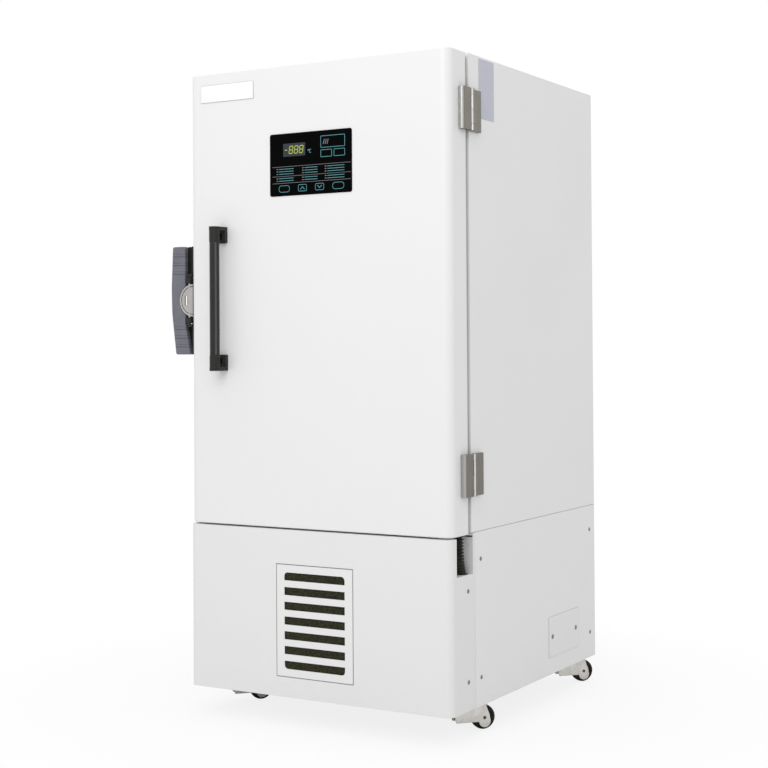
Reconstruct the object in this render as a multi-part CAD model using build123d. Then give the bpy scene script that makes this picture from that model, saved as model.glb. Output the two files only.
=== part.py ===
from build123d import *
import os
from math import cos, radians, sin, tan

# An upright ultra low temperature freezer on four casters.
# All lengths are millimetres. X runs to the right as seen from the front, Y to the back
# and Z up from the floor. While the parts are built X = 0 is the middle of the cabinet
# and Y = 0 is the front face of the door. The last lines move every part together, so
# that the origin ends under the middle of the whole freezer.

# Body
width = 800
depth = 895
body_height = 1650
base_height = 443
sheet = 1.2
seat_gap = 0.3

# Casters
wheel_diameter = 63
wheel_width = 25
caster_head = 12
caster_trail = 30
caster_heading = 47.5
caster_inset = 52
caster_front_y = 200
caster_rear_inset = 50
caster_plate = 64
caster_plate_thickness = 4
caster_bolt_radius = 3
caster_bolt_inset = 7
caster_bolt_head_radius = 5
caster_bolt_head_height = 2.5
caster_bolt_end = 4
caster_corner = 5
fork_sheet = 2.5
fork_wheel_gap = 1.5
fork_tail = 50
fork_tail_low = 30
fork_tail_cut = 4
fork_low = 21.5
fork_waist = 16
fork_nose = ((16.3, 23), (13.4, 39), (6.3, 57))
fork_crown_nose = 4
fork_boss_x = 0.5
fork_boss_z = 22.5
fork_boss_radius = 15.8
fork_race_radius = 22
fork_rivet_z = 16.5
fork_rivet_radius = 3.2
fork_rivet_height = 1.5
axle_radius = 4
axle_end = 0.8
king_radius = 6
tyre_edge_radius = 5

# Door
door_thickness = 89
door_gap = 17
door_drop = 4
door_radius = 25
door_panel_sheet = 2
door_plug_height = 11
door_plug_margin = 18
gasket_inset = 5
gasket_width = 40

# Insulated compartment
cavity_wall = 120
cavity_floor_wall = 100
liner_sheet = 1
liner_radius = 25
collar_width = 30
collar_thickness = 6
coil_radius = 4
coil_space = 11
coil_passes = 10
coil_margin = 25
shelf_count = 3
shelf_sheet = 1.5
shelf_lip = 22
shelf_front_gap = 40
shelf_back_gap = 15
shelf_rail_width = 20
shelf_rail_depth = 3
shelf_clip_reach = 13
shelf_rail_inset = 60
inner_door_thickness = 30
inner_door_setback = 2
inner_door_gap = 3
inner_hinge_inset = 9
inner_hinge_depth = 7
inner_pin_radius = 3
inner_pin_length = 15
inner_lug_thickness = 5.4
inner_lug_reach = 8
inner_lug_back = 9
inner_lug_gap = 0.4
inner_door_corner = 2
inner_catch_inset = 14
inner_catch_width = 22
inner_catch_height = 40
inner_catch_depth = 8
port_radius = 14
port_x = -180
port_drop = 205
port_flange_radius = 22
port_flange_thickness = 10

# Door hinges
hinge_height = 106
upper_hinge_drop = 144
lower_hinge_rise = 149
hinge_axis_out = 12.5
hinge_axis_front = 5
barrel_radius = 5.8
hinge_pin_radius = 2.8
knuckle_shares = (0, 0.15, 0.5, 0.85, 1)
knuckle_gap = 0.4
running_gap = 0.05
cabinet_leaf_thickness = 8
cabinet_leaf_start = 2
cabinet_leaf_length = 52
door_leaf_thickness = 15
door_leaf_front = 50
door_leaf_back = 91
door_leaf_radius = 8
hinge_screw_radius = 3.2
hinge_screw_spread = 34
hinge_screw_length = 14
door_knuckle_web = 3
cabinet_knuckle_web = 3
cabinet_knuckle_run = 6

# Pull handle
handle_inset = 113
handle_rise = 410
handle_length = 384
handle_tube_radius = 13.3
handle_sleeve_radius = 14
handle_sleeve_length = 32
handle_standoff = 40
handle_arm_width = 28
handle_arm_thickness = 10
handle_pad_height = 43
handle_pad_thickness = 11
handle_corner = 3
handle_slot_width = 8
handle_slot_height = 18
handle_slot_depth = 5
handle_slot_start = 16

# Side latch
latch_rise = 601
latch_height = 295
latch_housing_width = 39
latch_housing_corner = 12
latch_housing_front = 33
latch_housing_back = 80
latch_housing_sheet = 4
latch_window = 128
latch_pivot_out = 12
latch_pivot_y = 14
latch_pin_radius = 3
latch_boss_radius = 7
latch_lug = 8
latch_lug_lap = 2
latch_knuckle_low = 48
latch_knuckle_high = 62
latch_bar_gap = 27
latch_bar_width = 47
latch_bar_thickness = 18
latch_bar_lean = 14
latch_bar_taper = 4
latch_bar_belly = 1
latch_bar_straight = 40
latch_bar_corner = 5
latch_bar_foot_start = 63
latch_bar_foot_lean = 16
latch_face_step = 1
latch_rib_count = 3
latch_rib_pitch = 24
latch_rib_height = 1.6
latch_rib_width = 5
latch_rib_start = 6
latch_rib_low_start = 4
latch_rib_end = 2
latch_plate_radius = 37
latch_plate_thickness = 4
latch_rim_groove = 2
latch_rim_width = 5
latch_rim_clearance = 2
latch_slot_width = 9
latch_slot_height = 26
latch_slot_out = 22
latch_arm_half = 12
latch_arm_thickness = 5
latch_web_reach = 8
latch_web_sheet = 2
latch_pin_relief = 46
latch_bridge_back = 32
latch_bridge_depth = 8
latch_bridge_width = 36
latch_arm_reach = 12
latch_hook_lip = 6
striker_pin_radius = 4
striker_pin_out = 10
striker_y = 122
striker_ear = 5
striker_side_gap = 2
striker_hook_gap = 0.5
striker_ear_half = 8
striker_plate_sheet = 3
striker_plate_back = 25
striker_plate_lap = 20
striker_seam_gap = 2

# Control panel and plates on the door
control_x = -6.5
control_drop = 180
control_width = 253
control_height = 163.5
control_thickness = 2
control_corner = 6
window_margin = 14
board_behind = 3
board_sheet = 1.6
board_margin = 18
board_display_share = 0.72
board_display_span = (-84, -8)
board_display_half = 18
board_switch_half = 3
board_key_start = -81
board_key_pitch = 54
board_key_z = 23
board_upper_keys = ((70, 123), (50, 91), (88, 91))
pocket_depth = 20
plate_inset = 40.5
plate_drop = 31
plate_width = 174
plate_height = 48
plate_thickness = 2
plate_corner = 1.5
label_front = 162
label_width = 87
label_drop = 5
label_height = 153
label_thickness = 0.4

# Base compartment
front_proud = 4
cover_gap = 4
cover_radius = 21
side_seam = 123
side_seam_gap = 0.8
body_seam_gap = 1.1
pan_sheet = 3
post_width = 22
post_depth = 32
front_post_y = 140
rear_post_inset = 53
rail_height = 20
frame_tab_sheet = 2
notch_front = 26
notch_back = 113
notch_drop = 103
notch_depth = 55
conduit_radius = 15
conduit_inset = 20
conduit_y = 71
conduit_fall = 152
conduit_back = 91.3
conduit_drift = 28.5
conduit_turns = ((0, 0.371), (0.19, 0.615), (0.40, 0.80), (0.68, 0.93), (1, 1))
conduit_hole_room = 6.5
conduit_hole_lead = 2.7
conduit_hole_half = 9
grille_width = 234
grille_height = 292
grille_rise = 53
grille_return = 12
grille_gap = 1
slot_count = 7
slot_width = 185
slot_height = 20.8
slot_pitch = 38.3
slot_corner = 10
rebate = 8
filter_room = 0.5
service_back_gap = 120
service_length = 208
service_corner = 3
service_rise = 47
service_height = 112
service_lap = 10
louvre_rows = 9
louvre_columns = 3
louvre_width_share = 0.25
louvre_height = 10
louvre_pitch_share = 0.3
louvre_pitch_z = 36
louvre_lift = 20
screw_radius = 2
screw_head_radius = 5.8
screw_head_height = 1.5
screw_length = 7
service_screw_head = 7
side_screw_rise = 72.5
side_screw_drop = 71
cover_screw_y = 86
cover_screw_drop = 144
tab_half = 12

# Machinery in the base
condenser_width = 340
condenser_headroom = 143
condenser_depth = 50
condenser_front = 45
condenser_end_plate = 3
condenser_rows = 8
condenser_tube = 5
shroud_depth = 40
shroud_sheet = 4
fan_bore_margin = 20
fan_blade_gap = 8
fan_hub_radius = 30
fan_hub_length = 34
fan_hub_gap = 2
fan_blade_sheet = 2
fan_blade_chord = 62
fan_blade_root = 6
fan_blades = 5
fan_pitch = 28
fan_shaft_radius = 4
fan_motor_radius = 45
fan_motor_length = 60
fan_motor_gap = 6
fan_motor_edge = 8
fan_strut = 10
fan_strut_out = 6
fan_strut_back = 7
compressor_inset = 195
compressor_radius = 92
compressor_height = 235
compressor_shares = (0.402, 0.715)
compressor_edge = 38
compressor_skirt = 30
terminal_start = 12
terminal_reach = 24
terminal_half = 32
terminal_low = 70
terminal_high = 140
compressor_foot = 210
compressor_foot_sheet = 4
grommet_radius = 13
grommet_height = 16
grommet_inset = 22
exchanger_x = 150
exchanger_share = 0.737
exchanger_radius = 75
exchanger_headroom = 133
exchanger_edge = 12
drier_x = 20
drier_share = 0.469
drier_radius = 20
drier_length = 120
drier_rise = 72
pipe_radius = 5
pipe_headroom = 80
pipe_step = 25
pipe_spread = 30
pipe_tank_spread = 20
pipe_feed_reach = 120
pipe_riser_back = 100
pipe_drier_drop = 40
control_box_height = 218
control_box_front = 215
control_box_depth = 190
control_box_inset = 28
control_box_width = 147
control_box_corner = 4
battery_size = (150, 70, 95)
battery_corner = 3
battery_inset = 110
battery_share = 0.525
inlet_inset = 120
inlet_rise = 75
inlet_width = 34
inlet_height = 26
inlet_depth = 34
inlet_flange = 7
inlet_wall = 3
inlet_floor = 8
inlet_flange_sheet = 2.5
inlet_corner = 3
inlet_pins = ((-7, -3), (0, 4), (7, -3))
inlet_pin_half = (1, 3)
inlet_pin_recess = 14

# Places worked out from the sizes above
half = width / 2
floor_gap = wheel_diameter + caster_head
top = floor_gap + body_height
seam = floor_gap + base_height
door_low = seam - door_drop
cabinet_front = door_thickness + door_gap
cover_front = -front_proud
cover_top = door_low - cover_gap
cavity_half = half - cavity_wall
cavity_low = seam + cavity_floor_wall
cavity_high = top - cavity_wall
cavity_height = cavity_high - cavity_low
cavity_start = cabinet_front + collar_thickness
cavity_back = depth - cavity_wall
port_height = cavity_high - port_drop
collar_half = cavity_half + collar_width
collar_low = cavity_low - collar_width
collar_high = cavity_high + collar_width
foam_half = half - sheet
liner_outer = cavity_half + liner_sheet
coil_half = liner_outer + coil_space
hinge_x = half + hinge_axis_out
hinge_y = cabinet_front - hinge_axis_front
shelf_pitch = cavity_height / (shelf_count + 1)
shelf_levels = [cavity_low + shelf_pitch * (i + 1) for i in range(shelf_count)]
frame_half = half - sheet - seat_gap
pan_top = floor_gap + pan_sheet
pan_front = cover_front + sheet + seat_gap
frame_back = depth - sheet - seat_gap
caster_rear_y = depth - caster_rear_inset
rear_post_y = depth - rear_post_inset
upper_hinge_z = top - upper_hinge_drop
lower_hinge_z = door_low + lower_hinge_rise
handle_x = handle_inset - half
handle_low = door_low + handle_rise
handle_high = handle_low + handle_length
latch_z = door_low + latch_rise
control_low = top - control_drop - control_height
plate_x = plate_inset + plate_width / 2 - half
plate_low = top - plate_drop - plate_height
label_low = top - label_drop - label_height
notch_low = seam - notch_drop
grille_low = floor_gap + grille_rise
service_front = depth - service_back_gap - service_length
service_low = floor_gap + service_rise
side_screw_low = floor_gap + side_screw_rise
side_screw_high = seam - side_screw_drop
cover_screw_high = seam - cover_screw_drop
louvre_width = width * louvre_width_share
louvre_pitch_x = width * louvre_pitch_share
condenser_height = base_height - condenser_headroom
fan_bore = min(condenser_width, condenser_height) / 2 - fan_bore_margin
fan_blade_radius = fan_bore - fan_blade_gap
exchanger_height = base_height - exchanger_headroom
exchanger_y = depth * exchanger_share
compressor_x = compressor_inset - half
compressor_y = [depth * share for share in compressor_shares]
drier_y = depth * drier_share
drier_low = pan_top + drier_rise
control_box_right = half - control_box_inset
control_box_left = control_box_right - control_box_width
control_box_low = seam - control_box_height
battery_x = half - battery_inset
battery_y = depth * battery_share
inlet_x = half - inlet_inset
inlet_z = floor_gap + inlet_rise

parts = {}


def add(node, *solids):
    """Keep the solids of one node; several are a group of separate pieces."""
    parts[node] = [solid for shape in solids for solid in shape.solids()]


def block(x, y, z):
    """A box between a low and a high value along X, Y and Z."""
    size = [high - low for low, high in (x, y, z)]
    middle = [(high + low) / 2 for low, high in (x, y, z)]
    return Pos(*middle) * Box(*size)


def rod(start, end, radius):
    """A round bar from one point to another."""
    run = Vector(*end) - Vector(*start)
    foot = (Align.CENTER, Align.CENTER, Align.MIN)
    return Plane(origin=start, z_dir=run.normalized()) * Cylinder(radius, run.length, align=foot)


def tube_run(points, bend, radius):
    """A round tube along straight runs joined by arcs; bend is one radius or a list."""
    path = FilletPolyline(*points, radius=bend)
    end = Plane(origin=path @ 0, z_dir=path % 0)
    return sweep(end * Circle(radius), path=path)


def soft_bends(points):
    """The largest arcs that the two runs beside each corner leave room for."""
    found = []
    for before, corner, after in zip(points, points[1:], points[2:]):
        run_in = Vector(*corner) - Vector(*before)
        run_out = Vector(*after) - Vector(*corner)
        half_turn = radians(run_in.get_angle(run_out)) / 2
        found.append(0.45 * min(run_in.length, run_out.length) / tan(half_turn))
    return found


def rounded_slab(half_width, front, back, low, high, radius):
    """A block whose two upright front edges are rounded."""
    slab = block((-half_width, half_width), (front, back), (low, high))
    return fillet(slab.edges().filter_by(Axis.Z).group_by(Axis.Y)[0], radius)


def rounded_plate(centre_x, low, plate_w, plate_h, front, back, radius):
    """A thin upright plate that faces the front, with rounded corners."""
    plate = block((centre_x - plate_w / 2, centre_x + plate_w / 2), (front, back), (low, low + plate_h))
    return fillet(plate.edges().filter_by(Axis.Y), radius)


def side_screw(side, y, z, surface, head=screw_head_radius, shank=screw_radius):
    """A domed screw driven into a side face; side is +1 on the right and -1 on the left."""
    outer = side * (surface + screw_head_height)
    cap = rod((side * surface, y, z), (outer, y, z), head)
    cap = fillet(cap.edges().group_by(Axis.X)[-1 if side > 0 else 0], screw_head_height * 0.6)
    stem = rod((side * surface, y, z), (side * (surface - screw_length), y, z), shank)
    return cap + stem


def side_hole(side, y, z, surface, shank=screw_radius, length=screw_length):
    """The clearance hole for a side screw."""
    start = side * (surface + 1)
    end = side * (surface - length - 1)
    return rod((start, y, z), (end, y, z), shank + running_gap)


# Where the screws of the base and the hinges are
panel_screws = [(y, z) for y in (front_post_y + post_depth / 2, rear_post_y + post_depth / 2)
                for z in (side_screw_low, side_screw_high)]
cover_screws = [(cover_screw_y, z) for z in (side_screw_low, cover_screw_high)]
service_screws = [(service_front + service_length * share, service_low + service_height / 2)
                  for share in (0.115, 0.885)]
hinge_levels = (lower_hinge_z, upper_hinge_z)
leaf_start = cabinet_front + cabinet_leaf_start
leaf_outer = half + cabinet_leaf_thickness
hinge_screws = [(leaf_start + cabinet_leaf_length * share, level + offset)
                for level in hinge_levels for share in (0.35, 0.78)
                for offset in (-hinge_screw_spread, 0, hinge_screw_spread)]
caster_spots = [(side * (half - caster_inset), y) for y in (caster_front_y, caster_rear_y)
                for side in (-1, 1)]
bolt_offset = caster_plate / 2 - caster_bolt_inset
bolt_spots = [(x + dx * bolt_offset, y + dy * bolt_offset) for x, y in caster_spots
              for dx in (-1, 1) for dy in (-1, 1)]


def cabinet():
    """The folded outer skin, the back sheet, the foam, the liner, its coil and the collar."""
    skin = block((-half, half), (cabinet_front, depth), (seam, top))
    skin -= block((-foam_half, foam_half), (cabinet_front + sheet, depth + 1), (seam + sheet, top - sheet))
    skin -= block((-collar_half, collar_half), (cabinet_front - 1, cabinet_front + 2), (collar_low, collar_high))
    for y, z in hinge_screws:
        skin -= side_hole(1, y, z, leaf_outer, hinge_screw_radius, hinge_screw_length)

    port_line = ((port_x, cavity_back - 5, port_height), (port_x, depth + 1, port_height))
    back_half = foam_half - seat_gap
    back_low = seam + sheet + seat_gap
    back_high = top - sheet - seat_gap
    back = block((-back_half, back_half), (depth - sheet, depth), (back_low, back_high))
    back -= rod(*port_line, port_radius)

    foam_front = cabinet_front + sheet
    foam = block((-foam_half, foam_half), (foam_front, depth - sheet), (seam + sheet, top - sheet))
    recess = collar_half + seat_gap
    foam -= block((-recess, recess), (foam_front - 1, cavity_start + liner_sheet),
                  (collar_low - seat_gap, collar_high + seat_gap))
    foam -= block((-coil_half, coil_half), (foam_front, cavity_back + liner_sheet + coil_space),
                  (cavity_low - liner_sheet, cavity_high + liner_sheet))
    foam -= rod(*port_line, port_radius)
    for y, z in hinge_screws:
        foam -= side_hole(1, y, z, leaf_outer, hinge_screw_radius, hinge_screw_length)

    liner = block((-liner_outer, liner_outer), (cavity_start, cavity_back + liner_sheet),
                  (cavity_low - liner_sheet, cavity_high + liner_sheet))
    liner = fillet(liner.edges().filter_by(Axis.Z).group_by(Axis.Y)[-1], liner_radius)
    liner += block((-collar_half, collar_half), (cavity_start, cavity_start + liner_sheet),
                   (collar_low, collar_high))
    hollow = block((-cavity_half, cavity_half), (cavity_start - 1, cavity_back), (cavity_low, cavity_high))
    liner -= fillet(hollow.edges().filter_by(Axis.Z).group_by(Axis.Y)[-1], liner_radius - liner_sheet)
    liner -= rod(*port_line, port_radius)

    collar = block((-collar_half, collar_half), (cabinet_front, cavity_start), (collar_low, collar_high))
    collar -= block((-cavity_half, cavity_half), (cabinet_front - 1, cavity_start + 1),
                    (cavity_low, cavity_high))

    add("cabinet_shell", skin)
    add("cabinet_back", back)
    add("cabinet_foam", foam)
    add("inner_liner", liner)
    add("opening_collar", collar)


def evaporator():
    """One tube wound to and fro round the two sides and the back of the liner."""
    side_x = liner_outer + coil_radius + seat_gap
    back_y = cavity_back + liner_sheet + coil_radius + seat_gap
    front_y = cavity_start + liner_sheet + coil_margin
    low = cavity_low + coil_margin
    pitch = (cavity_height - 2 * coil_margin) / (coil_passes - 1)
    points = []
    for i in range(coil_passes):
        z = low + pitch * i
        wrap = [(side_x, front_y, z), (side_x, back_y, z), (-side_x, back_y, z), (-side_x, front_y, z)]
        points += wrap if i % 2 == 0 else wrap[::-1]
    add("evaporator_coil", tube_run(points, liner_radius, coil_radius))


def compartment():
    """Shelves on clips, and the two insulated inner doors on their pins."""
    rails = []
    shelves = []
    shelf_front = cavity_start + inner_door_thickness + shelf_front_gap
    shelf_back = cavity_back - shelf_back_gap
    shelf_half = cavity_half - shelf_rail_depth - seat_gap
    clip_inner = cavity_half - shelf_rail_depth - shelf_clip_reach
    for side in (-1, 1):
        for rail_y in (shelf_front + shelf_rail_inset, shelf_back - shelf_rail_inset - shelf_rail_width):
            wall = sorted((side * cavity_half, side * (cavity_half - shelf_rail_depth)))
            span = (rail_y, rail_y + shelf_rail_width)
            rail = block(wall, span, (cavity_low + coil_margin, cavity_high - coil_margin))
            for level in shelf_levels:
                reach = sorted((side * cavity_half, side * clip_inner))
                rail += block(reach, span, (level - shelf_lip / 2, level - seat_gap))
            rails.append(rail)
    for level in shelf_levels:
        shelf = block((-shelf_half, shelf_half), (shelf_front, shelf_back), (level, level + shelf_sheet))
        for lip_y in (shelf_front, shelf_back - shelf_sheet):
            shelf += block((-clip_inner, clip_inner), (lip_y, lip_y + shelf_sheet), (level - shelf_lip, level))
        shelves.append(shelf)
    add("shelf_rails", *rails)
    add("shelves", *shelves)

    door_half = cavity_half - inner_door_gap
    door_front = cavity_start + inner_door_setback
    pin_x = door_half - inner_hinge_inset
    pin_y = door_front + inner_hinge_depth
    middle = (cavity_low + cavity_high) / 2
    levels = (cavity_low, middle - inner_lug_thickness / 2, cavity_high - inner_lug_thickness)
    lugs = []
    for i, lug_low in enumerate(levels):
        lug_high = lug_low + inner_lug_thickness
        lug = block((pin_x - inner_lug_reach, cavity_half), (door_front, pin_y + inner_lug_back),
                    (lug_low, lug_high))
        if i < 2:
            lug += rod((pin_x, pin_y, lug_high), (pin_x, pin_y, lug_high + inner_pin_length), inner_pin_radius)
        if i > 0:
            lug += rod((pin_x, pin_y, lug_low - inner_pin_length), (pin_x, pin_y, lug_low), inner_pin_radius)
        lugs.append(lug)
    add("inner_door_brackets", *lugs)

    for i, node in enumerate(("inner_door_lower", "inner_door_upper")):
        low = levels[i] + inner_lug_thickness + inner_lug_gap
        high = levels[i + 1] - inner_lug_gap
        leaf = block((-door_half, door_half), (door_front, door_front + inner_door_thickness), (low, high))
        leaf = fillet(leaf.edges().filter_by(Axis.Z), inner_door_corner)
        catch_x = inner_catch_inset - door_half
        centre = (low + high) / 2
        leaf += block((catch_x, catch_x + inner_catch_width), (door_front - inner_catch_depth, door_front),
                      (centre - inner_catch_height / 2, centre + inner_catch_height / 2))
        for start, end in ((low - 1, low + inner_pin_length + 1), (high - inner_pin_length - 1, high + 1)):
            leaf -= rod((pin_x, pin_y, start), (pin_x, pin_y, end), inner_pin_radius + running_gap)
        add(node, leaf)


def access_port():
    """The soft plug that fills the probe port in the back wall."""
    plug = rod((port_x, cavity_back, port_height), (port_x, depth, port_height), port_radius - seat_gap)
    plug += rod((port_x, depth, port_height), (port_x, depth + port_flange_thickness, port_height),
                port_flange_radius)
    add("access_port_plug", plug)


def door():
    """The main door: outer pan, foam, inner panel with its raised plug, and gasket."""
    skin = rounded_slab(half, 0, door_thickness - door_panel_sheet, door_low, top, door_radius)
    inside = rounded_slab(half - sheet, sheet, door_thickness, door_low + sheet, top - sheet,
                          door_radius - sheet)
    foam = inside & block((-half, half), (0, door_thickness - door_panel_sheet), (door_low, top))
    skin -= inside
    window = rounded_plate(control_x, control_low + window_margin, control_width - 2 * window_margin,
                           control_height - 2 * window_margin, -1, pocket_depth, control_corner)
    skin -= window
    foam -= window

    plug_half = cavity_half - door_plug_margin
    plug_low = cavity_low + door_plug_margin
    plug_high = cavity_high - door_plug_margin
    plug_back = door_thickness + door_plug_height
    panel_front = door_thickness - door_panel_sheet
    panel = block((-half, half), (panel_front, door_thickness), (door_low, top))
    panel += block((-plug_half, plug_half), (panel_front, plug_back), (plug_low, plug_high))
    boss = block((-plug_half + door_panel_sheet, plug_half - door_panel_sheet),
                 (panel_front - 1, plug_back - door_panel_sheet),
                 (plug_low + door_panel_sheet, plug_high - door_panel_sheet))
    panel -= boss
    foam += boss & block((-half, half), (panel_front, depth), (door_low, top))

    seal_half = half - gasket_inset
    seal_low = seam + gasket_inset
    seal_high = top - gasket_inset
    seal = block((-seal_half, seal_half), (door_thickness, cabinet_front - seat_gap), (seal_low, seal_high))
    seal -= block((gasket_width - seal_half, seal_half - gasket_width), (0, depth),
                  (seal_low + gasket_width, seal_high - gasket_width))
    add("door_skin", skin)
    add("door_foam", foam)
    add("door_inner_panel", panel)
    add("door_gasket", seal)


def hinges():
    """Two four-knuckle hinges: a leaf on the cabinet, a thicker leaf on the door, a pin."""
    cabinet_leaves = []
    door_leaves = []
    for level in hinge_levels:
        low = level - hinge_height / 2
        high = level + hinge_height / 2
        cabinet_leaf = block((half, leaf_outer), (leaf_start, leaf_start + cabinet_leaf_length), (low, high))
        door_leaf = block((half, half + door_leaf_thickness), (door_leaf_front, door_leaf_back), (low, high))
        outer = door_leaf.edges().filter_by(Axis.Z).group_by(Axis.X)[-1].sort_by(Axis.Y)[0]
        door_leaf = fillet(outer, door_leaf_radius)
        for i, (share, next_share) in enumerate(zip(knuckle_shares, knuckle_shares[1:])):
            k_low = low + hinge_height * share + (knuckle_gap if i > 0 else 0)
            k_high = low + hinge_height * next_share
            barrel = rod((hinge_x, hinge_y, k_low), (hinge_x, hinge_y, k_high), barrel_radius)
            if i % 2 == 1:
                door_leaf += barrel
                door_leaf += block((hinge_x - door_knuckle_web, half + door_leaf_thickness),
                                   (door_leaf_back, hinge_y), (k_low, k_high))
            else:
                web = Polygon((half + cabinet_knuckle_web, hinge_y), (hinge_x, hinge_y),
                              (hinge_x, hinge_y + barrel_radius), (leaf_outer, leaf_start + cabinet_knuckle_run),
                              (half + cabinet_knuckle_web, leaf_start + cabinet_knuckle_run), align=None)
                cabinet_leaf += barrel
                cabinet_leaf += Pos(0, 0, k_low) * extrude(web, k_high - k_low)
        bore = rod((hinge_x, hinge_y, low - 1), (hinge_x, hinge_y, high + 1), hinge_pin_radius + running_gap)
        cabinet_leaf -= bore
        for y, z in hinge_screws:
            cabinet_leaf -= side_hole(1, y, z, leaf_outer, hinge_screw_radius, hinge_screw_length)
        cabinet_leaves.append(cabinet_leaf)
        cabinet_leaves.append(rod((hinge_x, hinge_y, low), (hinge_x, hinge_y, high), hinge_pin_radius))
        door_leaves.append(door_leaf - bore)
    add("hinge_leaves_cabinet", *cabinet_leaves)
    add("hinge_leaves_door", *door_leaves)


def handle():
    """The round pull bar between two brackets, each with a foot pad on the door."""
    brackets = []
    axis_y = -handle_standoff
    sides = (handle_x - handle_arm_width / 2, handle_x + handle_arm_width / 2)
    arm_front = axis_y - handle_arm_width / 2
    for high, inward in ((handle_high, -1), (handle_low, 1)):
        arm_inner = high + inward * handle_arm_thickness
        arm = block(sides, (arm_front, 0), sorted((high, arm_inner)))
        arm = fillet(arm.edges().filter_by(Axis.Z).group_by(Axis.Y)[0], handle_arm_width / 2 - 1)
        pad = block(sides, (-handle_pad_thickness, 0), sorted((high, high + inward * handle_pad_height)))
        pad = fillet(pad.edges().filter_by(Axis.Y), handle_corner)
        sleeve = rod((handle_x, axis_y, arm_inner),
                     (handle_x, axis_y, arm_inner + inward * handle_sleeve_length), handle_sleeve_radius)
        bracket = arm + pad + sleeve
        slot_z = high + inward * (handle_arm_thickness + handle_slot_start)
        slot = block((handle_x - handle_slot_width / 2, handle_x + handle_slot_width / 2),
                     (-handle_pad_thickness - 1, handle_slot_depth - handle_pad_thickness),
                     (slot_z - handle_slot_height / 2, slot_z + handle_slot_height / 2))
        brackets.append(bracket - slot)
    tube_low = handle_low + handle_arm_thickness + handle_sleeve_length
    tube_high = handle_high - handle_arm_thickness - handle_sleeve_length
    add("handle_tube", rod((handle_x, axis_y, tube_low), (handle_x, axis_y, tube_high), handle_tube_radius))
    add("handle_brackets", *brackets)


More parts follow.
